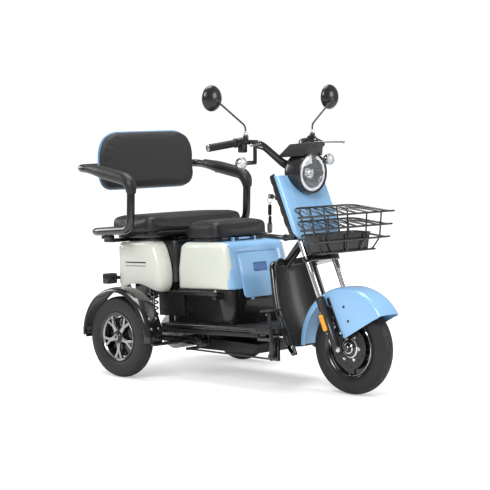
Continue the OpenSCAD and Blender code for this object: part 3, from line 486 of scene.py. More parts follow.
def bevel(obj: Object, width: float, segments: int = 3, degrees: float = 40.0) -> Object:
    """Rounds the sharp edges of an object."""
    return modify(obj, "BEVEL", width=width, segments=segments, limit_method="ANGLE",
                  angle_limit=math.radians(degrees), use_clamp_overlap=False, harden_normals=False)


def tidy(obj: Object, gap: float = 1e-3) -> Object:
    """Merges doubles and turns the faces outwards.

    Args:
        obj: the object.
        gap: the merge distance in metres.

    Returns:
        The same object.
    """
    pick(obj)
    bpy.ops.object.mode_set(mode="EDIT")
    bpy.ops.mesh.select_all(action="SELECT")
    bpy.ops.mesh.remove_doubles(threshold=gap)
    bpy.ops.mesh.normals_make_consistent(inside=False)
    bpy.ops.object.mode_set(mode="OBJECT")
    return obj


def mesh_of(name: str, points: Path, edges: Sequence = (), faces: Sequence = ()) -> Object:
    """A mesh object from its points, edges and faces.

    Args:
        name: the object's name.
        points, edges, faces: the mesh.

    Returns:
        The new object.
    """
    data = bpy.data.meshes.new(name)
    data.from_pydata([tuple(p) for p in points], edges, faces)
    obj = bpy.data.objects.new(name, data)
    bpy.context.scene.collection.objects.link(obj)
    return obj


def join(name: str, *parts: Object) -> Object:
    """Joins objects into one.

    Args:
        name: the name of the whole.
        *parts: the objects to join.

    Returns:
        The joined object.
    """
    obj = pick(*parts)
    if len(parts) > 1:
        bpy.ops.object.join()
    obj.name = name
    return obj


def box(name: str, low: Point, high: Point, place: Matrix, round_by: float = 2.0, segments: int = 3) -> Object:
    """A box with rounded edges between two corners.

    Args:
        name: the object's name.
        low, high: opposite corners.
        place: their frame.
        round_by: radius of the edges in mm.
        segments: steps of the rounding.

    Returns:
        The new object.
    """
    centre = [(a + b) / 2 for a, b in zip(low, high)]
    deselect()
    bpy.ops.mesh.primitive_cube_add(size=1, location=centre)
    obj = bpy.context.object
    obj.name = name
    obj.scale = [abs(b - a) for a, b in zip(low, high)]
    bpy.ops.object.transform_apply(location=True, rotation=True, scale=True)
    if round_by:
        bevel(obj, round_by, segments)
    return smooth(settle(obj, place))


def aim(start: Point, end: Point) -> Matrix:
    """Matrix that puts +Z along start to end, from start."""
    direction = Vector(end) - Vector(start)
    return Matrix.Translation(start) @ direction.to_track_quat("Z", "Y").to_matrix().to_4x4()


def bar(name: str, start: Point, end: Point, radius: float, place: Matrix, round_by: float = 0.8,
        sides: int = 32) -> Object:
    """A round bar with softened ends.

    Args:
        name: the object's name.
        start, end: ends of the axis.
        radius: the bar's radius.
        place: their frame.
        round_by: radius of the end edges.
        sides: faces round the bar.

    Returns:
        The new object.
    """
    length = (Vector(end) - Vector(start)).length
    deselect()
    bpy.ops.mesh.primitive_cylinder_add(vertices=sides, radius=radius, depth=length,
                                        location=(0, 0, length / 2))
    obj = bpy.context.object
    obj.name = name
    bpy.ops.object.transform_apply(location=True, rotation=True, scale=True)
    if round_by:
        bevel(obj, round_by, 2, 50)
    return smooth(settle(obj, place @ aim(start, end)))


def lathe(name: str, profile: Path, start: Point, end: Point, place: Matrix, steps: int = 64) -> Object:
    """Spins a closed profile of (radius, height) about the line from start towards end.

    Args:
        name: the object's name.
        profile: the closed section.
        start, end: two points of the axis.
        place: their frame.
        steps: faces round the axis.

    Returns:
        The new object.
    """
    count = len(profile)
    obj = mesh_of(name, [(r, 0, h) for r, h in profile], [(i, (i + 1) % count) for i in range(count)])
    pick(obj)
    bpy.ops.object.mode_set(mode="EDIT")
    bpy.ops.mesh.select_all(action="SELECT")
    bpy.ops.mesh.spin(steps=steps, angle=math.tau, center=(0, 0, 0), axis=(0, 0, 1))
    tidy(obj, 1e-2)
    return smooth(settle(obj, place @ aim(start, end)), 30)


def bend(path: Path, radii: Sequence[float], steps: int = 8, closed: bool = False) -> list[Vector]:
    """Rounds the corners of a path, each by its own distance.

    Args:
        path: the corner points.
        radii: the rounding at each.
        steps: points of each arc.
        closed: whether it is a ring.

    Returns:
        The rounded path.
    """
    points = [Vector(p) for p in path]
    count = len(points)
    rounded: list[Vector] = []
    for i, corner in enumerate(points):
        if not closed and i in (0, count - 1):
            rounded.append(corner)
            continue
        before, after = points[i - 1], points[(i + 1) % count]
        start = corner + (before - corner).normalized() * radii[i]
        stop = corner + (after - corner).normalized() * radii[i]
        for k in range(steps + 1):
            t = k / steps
            rounded.append((1 - t) ** 2 * start + 2 * t * (1 - t) * corner + t * t * stop)
    return rounded


def tube(name: str, path: Path, radius: float, place: Matrix, closed: bool = False, detail: int = 5,
         widths: Sequence[float] | None = None) -> Object:
    """A tube along a path, as a mesh with closed ends.

    Args:
        name: the object's name.
        path: the middle line.
        radius: half the thickness.
        place: their frame.
        closed: whether it is a ring.
        detail: fineness of the section.
        widths: factor on the radius at each point.

    Returns:
        The new object.
    """
    curve = bpy.data.curves.new(name, "CURVE")
    curve.dimensions = "3D"
    curve.bevel_depth = radius
    curve.bevel_resolution = detail
    curve.use_fill_caps = True
    spline = curve.splines.new("POLY")
    spline.points.add(len(path) - 1)
    spline.use_cyclic_u = closed
    for i, point in enumerate(path):
        spline.points[i].co = (*point, 1)
        spline.points[i].radius = widths[i] if widths else 1.0
    obj = bpy.data.objects.new(name, curve)
    bpy.context.scene.collection.objects.link(obj)
    pick(obj)
    bpy.ops.object.convert(target="MESH")
    return smooth(tidy(settle(bpy.context.object, place), 1e-6), 50)


def slab(name: str, outlines: Sequence[Path], depth: float, round_by: float, place: Matrix,
         segments: int = 3) -> Object:
    """A plate with round edges, centred on its plane: the first outline is its edge, the rest are holes.

    Args:
        name: the object's name.
        outlines: the edge, then the holes.
        depth: the thickness.
        round_by: radius of the edges.
        place: their frame.
        segments: steps of the rounding.

    Returns:
        The new object.
    """
    curve = bpy.data.curves.new(name, "CURVE")
    curve.dimensions = "2D"
    curve.fill_mode = "BOTH"
    curve.extrude = depth / 2 - round_by
    curve.bevel_depth = round_by
    curve.bevel_resolution = segments
    curve.offset = -round_by
    for outline in outlines:
        spline = curve.splines.new("POLY")
        spline.points.add(len(outline) - 1)
        spline.use_cyclic_u = True
        for i, point in enumerate(outline):
            spline.points[i].co = (point[0], point[1], 0, 1)
    obj = bpy.data.objects.new(name, curve)
    bpy.context.scene.collection.objects.link(obj)
    pick(obj)
    bpy.ops.object.convert(target="MESH")
    return smooth(tidy(settle(bpy.context.object, place), 1e-6), 40)


def rounded_rect(x0: float, x1: float, y0: float, y1: float, r: float, steps: int = 8) -> list[Vector]:
    """Outline of a rectangle with round corners."""
    return bend([(x0, y0, 0), (x1, y0, 0), (x1, y1, 0), (x0, y1, 0)], [r] * 4, steps, True)


def loft(name: str, rings: Sequence[Path], place: Matrix, closed: bool = False, degrees: float = 40.0) -> Object:
    """A closed skin over rings that have the same number of points.

    Args:
        name: the object's name.
        rings: the sections in order.
        place: their frame.
        closed: whether the ends are filled.
        degrees: angle that is kept smooth.

    Returns:
        The new object.
    """
    size, count = len(rings[0]), len(rings)
    points = [p for ring in rings for p in ring]
    faces = []
    for i in range(count if closed else count - 1):
        j = (i + 1) % count
        faces += [(i * size + k, i * size + (k + 1) % size, j * size + (k + 1) % size, j * size + k)
                  for k in range(size)]
    if not closed:
        faces += [tuple(range(size)), tuple((count - 1) * size + k for k in range(size))]
    return smooth(tidy(settle(mesh_of(name, points, faces=faces), place), 1e-6), degrees)


def sheet_grid(name: str, rows: Sequence[Path], thick: float, place: Matrix, round_by: float = 0.0,
               degrees: float = 50.0) -> Object:
    """An open skin over rows of points, given a wall.

    Args:
        name: the object's name.
        rows: rows of points.
        thick: the wall in mm.
        place: their frame.
        round_by: radius of the edges in metres.
        degrees: angle that is kept smooth.

    Returns:
        The new object.
    """
    size = len(rows[0])
    faces = [(i * size + k, i * size + k + 1, (i + 1) * size + k + 1, (i + 1) * size + k)
             for i in range(len(rows) - 1) for k in range(size - 1)]
    obj = tidy(mesh_of(name, [p for row in rows for p in row], faces=faces), 1e-3)
    modify(obj, "SOLIDIFY", thickness=thick, offset=0, use_even_offset=True)
    if round_by:
        bevel(obj, round_by, 2, 60)
    return smooth(settle(obj, place), degrees)


def carve(obj: Object, *cutters: Object) -> Object:
    """Cuts other solids away from an object.

    Args:
        obj: the object.
        *cutters: solids that are used up.

    Returns:
        The same object.
    """
    for cutter in cutters:
        modify(obj, "BOOLEAN", operation="DIFFERENCE", solver="EXACT", object=cutter)
        bpy.data.objects.remove(cutter)
    return obj


def softened(name: str, node: str, width: float = 1.2, degrees: float = 40.0) -> Object:
    """A copy of a CAD node, merged and with its sharp edges rounded.

    Args:
        name: the copy's name.
        node: the CAD node.
        width: rounding in mm.
        degrees: angle from which an edge is rounded.

    Returns:
        The copy.
    """
    source = frame["nodes"][node]
    obj = bpy.data.objects.new(name, source.data.copy())
    bpy.context.scene.collection.objects.link(obj)
    obj.data.materials.clear()
    pick(obj)
    if obj.data.has_custom_normals:
        bpy.ops.mesh.customdata_custom_splitnormals_clear()
    bpy.ops.object.mode_set(mode="EDIT")
    bpy.ops.mesh.select_all(action="SELECT")
    bpy.ops.mesh.remove_doubles(threshold=2e-5)
    bpy.ops.mesh.dissolve_limited(angle_limit=math.radians(1.5))
    bpy.ops.object.mode_set(mode="OBJECT")
    bevel(obj, width * 0.001, 2, degrees)
    return smooth(obj, 38)


def dress(obj: Object, finish: Finish, body: str, *nodes: str) -> Object:
    """Gives a piece its finish, body and the CAD nodes that it stands for.

    Args:
        obj: the piece.
        finish: its finish.
        body: the body it moves with.
        *nodes: the CAD nodes it replaces.
    """
    obj.data.materials.clear()
    obj.data.materials.append(finish.build())
    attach(obj, body)
    if nodes:
        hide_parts(*nodes)
    return obj


def paint_node(node: str, finish: Finish) -> None:
    """Gives a CAD node that stays in view its finish.

    Args:
        node: the CAD node.
        finish: its finish.
    """
    data = frame["nodes"][node].data
    data.materials.clear()
    data.materials.append(finish.build())


V, B, F = Place.VEHICLE.matrix, Place.BODY.matrix, Place.FORK.matrix


def upright(y: float) -> Matrix:
    """Turns a flat drawing of (x, z) up into the plane at this y."""
    return Matrix.Translation((0, y, 0)) @ Matrix.Rotation(math.radians(90), 4, "X")


def facing(x: float, z: float = 0.0) -> Matrix:
    """Turns a flat drawing of (y, z) up into the plane at this x, facing forward."""
    turn = Matrix(((0, 0, 1), (1, 0, 0), (0, 1, 0)))
    return Matrix.Translation((x, 0, z)) @ turn.to_4x4()


def bolt(start: Point, end: Point, radius: float, place: Matrix) -> Object:
    """A domed bolt head from its seat outwards.

    Args:
        start, end: seat and top of the head.
        radius: its radius.
        place: their frame.

    Returns:
        The new object.
    """
    height = (Vector(end) - Vector(start)).length
    profile = [(0, 0), (radius * 1.5, 0), (radius * 1.5, height * 0.25), (radius * 1.1, height * 0.3),
               (radius, height * 0.7), (radius * 0.7, height), (0, height)]
    return lathe("bolt", profile, start, end, place, 20)


# ---- studio ----
@dataclass
class Studio:
    """Camera, lamps, pale floor and backdrop."""

    camera_at: Point = (5.972, -6.071, 1.353)
    looks_at: Point = (-0.067, 0.0, 0.589)
    lens: float = 143.0
    floor_white: float = 0.86
    sky: float = 0.36
    floor_lift: float = 0.40

    def camera(self) -> None:
        """Makes the camera."""
        data = bpy.data.cameras.new("camera")
        data.lens = self.lens
        data.sensor_width = 36
        data.clip_end = 100
        obj = bpy.data.objects.new("camera", data)
        bpy.context.scene.collection.objects.link(obj)
        obj.location = self.camera_at
        direction = Vector(self.looks_at) - Vector(self.camera_at)
        obj.rotation_euler = direction.to_track_quat("-Z", "Y").to_euler()
        bpy.context.scene.camera = obj

    def lamp(self, name: str, at: Point, size: float, power: float) -> None:
        """One square softbox aimed at the middle of the object.

        Args:
            name: the lamp's name.
            at: its place in metres.
            size: its side in metres.
            power: its power in watts.
        """
        data = bpy.data.lights.new(name, "AREA")
        data.shape = "SQUARE"
        data.size = size
        data.energy = power
        obj = bpy.data.objects.new(name, data)
        bpy.context.scene.collection.objects.link(obj)
        obj.location = at
        obj.rotation_euler = (Vector((0, 0, 0.5)) - Vector(at)).to_track_quat("-Z", "Y").to_euler()

    def world(self) -> None:
        """An even sky that shows white to the camera, directly or through glass."""
        world = bpy.data.worlds.new("studio")
        bpy.context.scene.world = world
        world.use_nodes = True
        tree = world.node_tree
        sky = tree.nodes["Background"]
        path = tree.nodes.new("ShaderNodeLightPath")
        seen = tree.nodes.new("ShaderNodeMath")
        seen.operation = "MAXIMUM"
        seen.use_clamp = True
        tree.links.new(path.outputs["Is Camera Ray"], seen.inputs[0])
        tree.links.new(path.outputs["Is Transmission Ray"], seen.inputs[1])
        strength = tree.nodes.new("ShaderNodeMapRange")
        strength.inputs["To Min"].default_value = self.sky
        strength.inputs["To Max"].default_value = 1.0
        tree.links.new(seen.outputs[0], strength.inputs["Value"])
        tree.links.new(strength.outputs["Result"], sky.inputs["Strength"])
        sky.inputs["Color"].default_value = (1, 1, 1, 1)

    def floor(self) -> None:
        """A wide pale floor that keeps the shadow and fades to white."""
        bpy.ops.mesh.primitive_plane_add(size=60, location=(0, 0, 0))
        obj = bpy.context.object
        obj.name = "studio_floor"
        material = bpy.data.materials.new("pale_floor")
        material.use_nodes = True
        tree = material.node_tree
        shader = tree.nodes["Principled BSDF"]
        shader.inputs["Base Color"].default_value = (self.floor_white,) * 3 + (1,)
        shader.inputs["Roughness"].default_value = 0.9
        shader.inputs["Specular IOR Level"].default_value = 0.0
        path = tree.nodes.new("ShaderNodeLightPath")
        lift = tree.nodes.new("ShaderNodeMath")
        lift.operation = "MULTIPLY"
        place = tree.nodes.new("ShaderNodeTexCoord")
        reach = tree.nodes.new("ShaderNodeVectorMath")
        reach.operation = "LENGTH"
        fade = tree.nodes.new("ShaderNodeMapRange")
        fade.interpolation_type = "SMOOTHSTEP"
        for name, value in (("From Min", 1.2), ("From Max", 2.6), ("To Min", self.floor_lift),
                            ("To Max", 0.8)):
            fade.inputs[name].default_value = value
        tree.links.new(place.outputs["Object"], reach.inputs[0])
        tree.links.new(reach.outputs["Value"], fade.inputs["Value"])
        tree.links.new(fade.outputs["Result"], lift.inputs[1])
        tree.links.new(path.outputs["Is Camera Ray"], lift.inputs[0])
        tree.links.new(lift.outputs[0], shader.inputs["Emission Strength"])
        shader.inputs["Emission Color"].default_value = (1, 1, 1, 1)
        obj.data.materials.append(material)

    def build(self) -> None:
        """Sets up the whole studio."""
        self.camera()
        self.world()
        self.lamp("key", (2.5, -4.5, 4.2), 2.6, 230)
        self.lamp("fill", (5.0, 3.2, 2.4), 2.2, 90)
        self.lamp("top", (-0.6, 0.4, 4.4), 2.6, 120)
        self.lamp("rear", (-4.2, -1.6, 2.2), 2.0, 60)
        self.floor()
        bpy.context.scene.view_settings.view_transform = "Standard"


# ---- seats ----
def puff(obj: Object, voxel: float, pressure: float, cap: float, pinned: Callable[[Vector], bool]) -> Object:
    """Remeshes a pad and lets air pressure round it, with its resting face held.

    Args:
        obj: the pad's rest shape, a little small.
        voxel: remesh size in metres.
        pressure: cloth pressure.
        cap: the furthest that a point may move, in metres.
        pinned: tells whether a point rests on what carries the pad.

    Returns:
        The rounded pad.
    """
    modify(obj, "REMESH", mode="VOXEL", voxel_size=voxel, use_smooth_shade=True)
    rest = [v.co.copy() for v in obj.data.vertices]
    held = obj.vertex_groups.new(name="held")
    held.add([i for i, co in enumerate(rest) if pinned(co)], 1.0, "REPLACE")
    cloth = obj.modifiers.new("cloth", "CLOTH")
    cloth.settings.quality = 6
    cloth.settings.mass = 0.4
    cloth.settings.tension_stiffness = 18
    cloth.settings.compression_stiffness = 18
    cloth.settings.shear_stiffness = 10
    cloth.settings.bending_stiffness = 2.5
    cloth.settings.use_pressure = True
    cloth.settings.uniform_pressure_force = pressure
    cloth.settings.effector_weights.gravity = 0
    cloth.settings.vertex_group_mass = "held"
    for number in range(1, 21):
        bpy.context.scene.frame_set(number)
    pick(obj)
    bpy.ops.object.modifier_apply(modifier="cloth")
    bpy.context.scene.frame_set(1)
    for vertex, start in zip(obj.data.vertices, rest):
        move = vertex.co - start
        if move.length > cap:
            vertex.co = start + move.normalized() * cap
    obj.vertex_groups.clear()
    modify(obj, "SMOOTH", factor=0.5, iterations=4)
    modify(obj, "SUBSURF", levels=1, render_levels=1)
    return smooth(obj, 180)


def hug(obj: Object, path: Sequence[Vector]) -> list[Vector]:
    """Points of the pad's skin nearest to a path in metres."""
    return [obj.closest_point_on_mesh(point)[1] for point in path]


@dataclass
class Cushion:
    """A box cushion on a flat board: crowned top, rounded edge and a piped seam."""

    name: str
    body: str
    finish: Finish
    low: Point
    high: Point
    corner: float
    crown: float
    shrink: float = 1.0
    cap: float = 0.005

    def outline(self, inset: float, z: float) -> list[Vector]:
        """Plan outline of the cushion at one height.

        Args:
            inset: how far inside the widest outline.
            z: the height.

        Returns:
            The outline's points.
        """
        (x0, y0, _), (x1, y1, _) = self.low, self.high
        flat = rounded_rect(x0 + inset, x1 - inset, y0 + inset, y1 - inset, max(self.corner - inset, 12), 8)
        return [Vector((p.x, p.y, z)) for p in flat]

    def build(self) -> None:
        """Makes the pad and its piping."""
        z0, z1 = self.low[2], self.high[2]
        s = self.shrink
        steps = [(s + 3, z0), (s, z0 + 6), (s, z0 + 22), (s, z1 - 26), (s + 3, z1 - 14), (s + 10, z1 - 6),
                 (s + 24, z1 - s - 1)]
        rings = [self.outline(inset, z) for inset, z in steps]
        pad = loft(f"{self.body}_pad", rings, B)
        floor_z = z0 + 2.0
        inverse = B.inverted()
        puff(pad, 0.006, 1.8, self.cap, lambda co: (inverse @ co).z < floor_z)
        self.crown_top(pad)
        dress(pad, self.finish, self.body, self.name)
        seam = [B @ p for p in self.outline(0, z0 + 13)]
        piping = tube(f"{self.body}_piping", hug(pad, seam), 0.0021, Matrix.Identity(4), closed=True,
                      detail=2)
        dress(piping, self.finish, self.body)

    def crown_top(self, pad: Object) -> None:
        """Raises the middle of the top a little, and pulls the sides in between the corners.

        Args:
            pad: the finished pad.
        """
        inverse, (x0, y0, z0), (x1, y1, z1) = B.inverted(), self.low, self.high
        for vertex in pad.data.vertices:
            p = inverse @ vertex.co
            u = (2 * p.x - x0 - x1) / (x1 - x0)
            v = (2 * p.y - y0 - y1) / (y1 - y0)
            up = max(0.0, min(1.0, (p.z - z0) / (z1 - z0)))
            middle = max(0.0, 1 - u * u) * max(0.0, 1 - v * v)
            p.z += up * self.crown * (middle - 0.35)
            p.x -= 1.6 * math.copysign(max(0.0, 1 - v * v) * u * u, u) * up
            p.y -= 2.2 * math.copysign(max(0.0, 1 - u * u) * v * v, v) * up
            vertex.co = B @ p


@dataclass
class SeatSet:
    """Hoop, seats, backrest and arm pads."""

    hoop_r: float = 18.0
    hoop_y: float = 362.0
    top: Pair = (-255.0, 932.0)
    shoulder: Pair = (-205.0, 926.0)
    knee: Pair = (86.0, 868.0)
    foot: Pair = (70.0, 652.0)
    heel: Pair = (-205.0, 642.0)
    back_z: float = 958.0
    back_size: Pair = (572.0, 260.0)

    def hoop(self) -> None:
        """One bent tube all round the passenger, on two welded feet."""
        y = self.hoop_y
        right = [self.heel, self.foot, self.knee, self.shoulder, self.top]
        corners = [(x, -y, z) for x, z in right] + [(x, y, z) for x, z in reversed(right)]
        bends = [80, 52, 52, 12, 24, 24, 12, 52, 52, 80]
        ring = tube("hoop", bend(corners, bends, 10, True), self.hoop_r, B, closed=True, detail=7)
        parts = [ring]
        for s in SIDES:
            parts.append(box("foot", (-122, s * 336, 611.5), (-68, s * 368, 627), B, 2))
            for x in (-112, -78):
                parts.append(bolt((x, s * 345, 627), (x, s * 345, 634), 6, B))
        dress(join("hoop_tube", *parts), GLOSS_BLACK, "chassis", "seat_hoop")

    def arm_pad(self, s: int) -> None:
        """A soft sleeve over the upper tube that wraps down round its front bend.

        Args:
            s: the side, -1 right, 1 left.
        """
        y = s * self.hoop_y
        line = bend([(self.shoulder[0] + 4, y, self.shoulder[1]), (self.knee[0], y, self.knee[1]),
                     (84, y, 812)], [0, 52, 0], 12)
        rear = [line[0].lerp(line[1], k / 8) for k in range(8)]
        path = rear + line[1:]
        count = len(path)
        widths = [min(1.0, 0.66 + 2.2 * k / count)
                  if k < count * 0.7 else 1.0 - 0.34 * (k / count - 0.7) / 0.3
                  for k in range(count)]
        lifted = [p + Vector((0, 0, 5 * (1 - k / count))) for k, p in enumerate(path)]
        pad = tube(f"arm_pad_{NAMES[s]}", lifted, 29, B, widths=widths, detail=6)
        puff(pad, 0.004, 2.0, 0.003, lambda co: False)
        dress(pad, VINYL, "chassis", f"armrest_pad_{NAMES[s]}")
        screws = [bolt((x, y, z - 20), (x, y, z - 29), 3.5, B) for x, z in ((-120, 909), (10, 886))]
        dress(join(f"arm_pad_screws_{NAMES[s]}", *screws), STEEL, "chassis")

    def back_ring(self, inset: float, x: float) -> list[Vector]:
        """Outline of the backrest, rounder at the top than below.

        Args:
            inset: how far inside the edge.
            x: how far along the panel's thickness.

        Returns:
            The outline's points.
        """
        w, h = self.back_size[0] / 2 - inset, self.back_size[1] / 2 - inset
        corners = [(x, -w, self.back_z - h), (x, w, self.back_z - h), (x, w, self.back_z + h),
                   (x, -w, self.back_z + h)]
        return bend(corners, [78 - inset, 78 - inset, 124 - inset, 124 - inset], 12, True)

    def backrest(self) -> None:
        """A padded panel on a shallow moulded shell."""
        rings = []
        for inset, x in ((3, -212), (0, -210), (0, -198), (3, -190), (10, -184.5), (24, -182)):
            rings.append(self.back_ring(inset, x))
        pad = loft("backrest_pad", rings, B)
        inverse = B.inverted()
        puff(pad, 0.006, 2.6, 0.005, lambda co: (inverse @ co).x < -211)
        dress(pad, BACK_VINYL, "chassis", "backrest_cushion")
        rings = []
        for inset, x in ((34, -236), (16, -233), (5, -227), (-1, -219), (-3, -214)):
            rings.append(self.back_ring(inset, x))
        shell = loft("backrest_tray", rings, B)
        clamps = [box("clamp", (-276, s * 118, 910), (-236, s * 152, 954), B, 5) for s in SIDES]
        heads = [bolt((-276, s * 135, z), (-283, s * 135, z), 4, B) for s in SIDES for z in (916, 948)]
        dress(shell, SKY_BLUE, "chassis", "backrest_shell")
        dress(join("backrest_clamps", *clamps), GLOSS_BLACK, "chassis")
        dress(join("backrest_clamp_bolts", *heads), STEEL, "chassis")

    def boards(self) -> None:
        """The boards under the seats and their hinges."""
        for node, body in (("front_seat_base", "front_seat"), ("rear_seat_base", "rear_seat")):
            dress(softened(f"{node}_board", node, 1.5), SHELL_BLACK, body, node)

    def build(self) -> None:
        """Builds every seat piece."""
        self.hoop()
        for s in SIDES:
            self.arm_pad(s)
        self.backrest()
        self.boards()
        Cushion("front_seat_cushion", "front_seat", VINYL, (211, -166, 606), (406, 166, 678), 40, 3.0).build()
        Cushion("rear_seat_cushion", "rear_seat", VINYL, (-146, -295, 640), (124, 295, 710), 46, 4.0).build()


# ---- body ----
@dataclass
class RearBody:
    """Side panels over the rear wheels, inner box and tail lamps."""

    panel_y: float = 280.0
    inner_y: float = 198.0
    arch_r: float = 228.0
    centre: Pair = (8.0, 484.0)
    half: Pair = (139.0, 120.0)
    wall: float = 4.0

    def skin(self, s: int, wall: float) -> Object:
        """The panel's closed outer form, or with a wall the hollow inside it.

        Args:
            s: the side, -1 right, 1 left.
            wall: wall of the hollow, or 0.

        Returns:
            The closed solid.
        """
        outline = bend([(-131, 376, 0), (30, 364, 0), (146, 366, 0), (157, 470, 0), (112, 603, 0),
                        (-126, 600, 0)],
                       [24, 4, 50, 52, 54, 34], 9, True)
        centre, half = Vector(self.centre), Vector(self.half)
        rings = []
        for inset, y in ((0, -12), (0, 38), (2.5, 56), (8, 68), (17, 76), (32, 80.5), (56, 82.5), (90, 83)):
            kx, kz = 1 - (inset + wall) / half.x, 1 - (inset + wall) / half.y
            depth = y - 2 * wall if y < 0 else y - wall
            rings.append([Vector((centre.x + (p.x - centre.x) * kx, s * (self.inner_y + depth),
                                  centre.y + (p.y - centre.y) * kz)) for p in outline])
        return loft(f"rear_side_panel_{NAMES[s]}", rings, B)

    def panel(self, s: int) -> None:
        """A puffed side panel with its wheel arch cut away.

        Args:
            s: the side, -1 right, 1 left.
        """
        shell = self.skin(s, 0)
        arch = bar("arch", (0, -500, REAR_R), (0, 500, REAR_R), self.arch_r, V, 0, 128)
        inside = box("inside", (-400, -s * 400, 100), (400, s * self.inner_y, 900), B, 0)
        shelf = box("shelf", (-400, s * 150, 591), (-55, s * 400, 700), B, 0)
        carve(shell, self.skin(s, self.wall), inside, arch, shelf)
        bevel(shell, 0.0015, 2, 50)
        dress(smooth(shell, 40), CREAM, "chassis", f"rear_panel_{NAMES[s]}")
        self.stripes(s)

    def stripes(self, s: int) -> None:
        """Two plain dark bands laid on the flat of the panel.

        Args:
            s: the side, -1 right, 1 left.
        """
        bands = [box("band", (-62, s * (self.panel_y - 1), z0), (72, s * (self.panel_y + 1.4), z1), B, 0.3)
                 for z0, z1 in ((500, 506), (486, 489))]
        dress(join(f"panel_bands_{NAMES[s]}", *bands), GLOSS_BLACK, "chassis")

    def lamps(self) -> None:
        """Tail lamp housings, each with a lens on its rear face."""
        dress(softened("tail_lamp_housings", "tail_lamps", 4), SHELL_BLACK, "chassis", "tail_lamps")
        lenses = [slab("lens", [rounded_rect(s * 290 - 22, s * 290 + 22, -18, 18, 6)], 5, 1.5,
                       B @ facing(-187, 428.5)) for s in SIDES]
        dress(join("tail_lamp_lenses", *lenses), RED, "chassis")

    def build(self) -> None:
        """Builds the rear body."""
        for s in SIDES:
            self.panel(s)
        dress(softened("rear_inner_box", "rear_body_core", 2), SHELL_BLACK, "chassis", "rear_body_core")
        self.lamps()


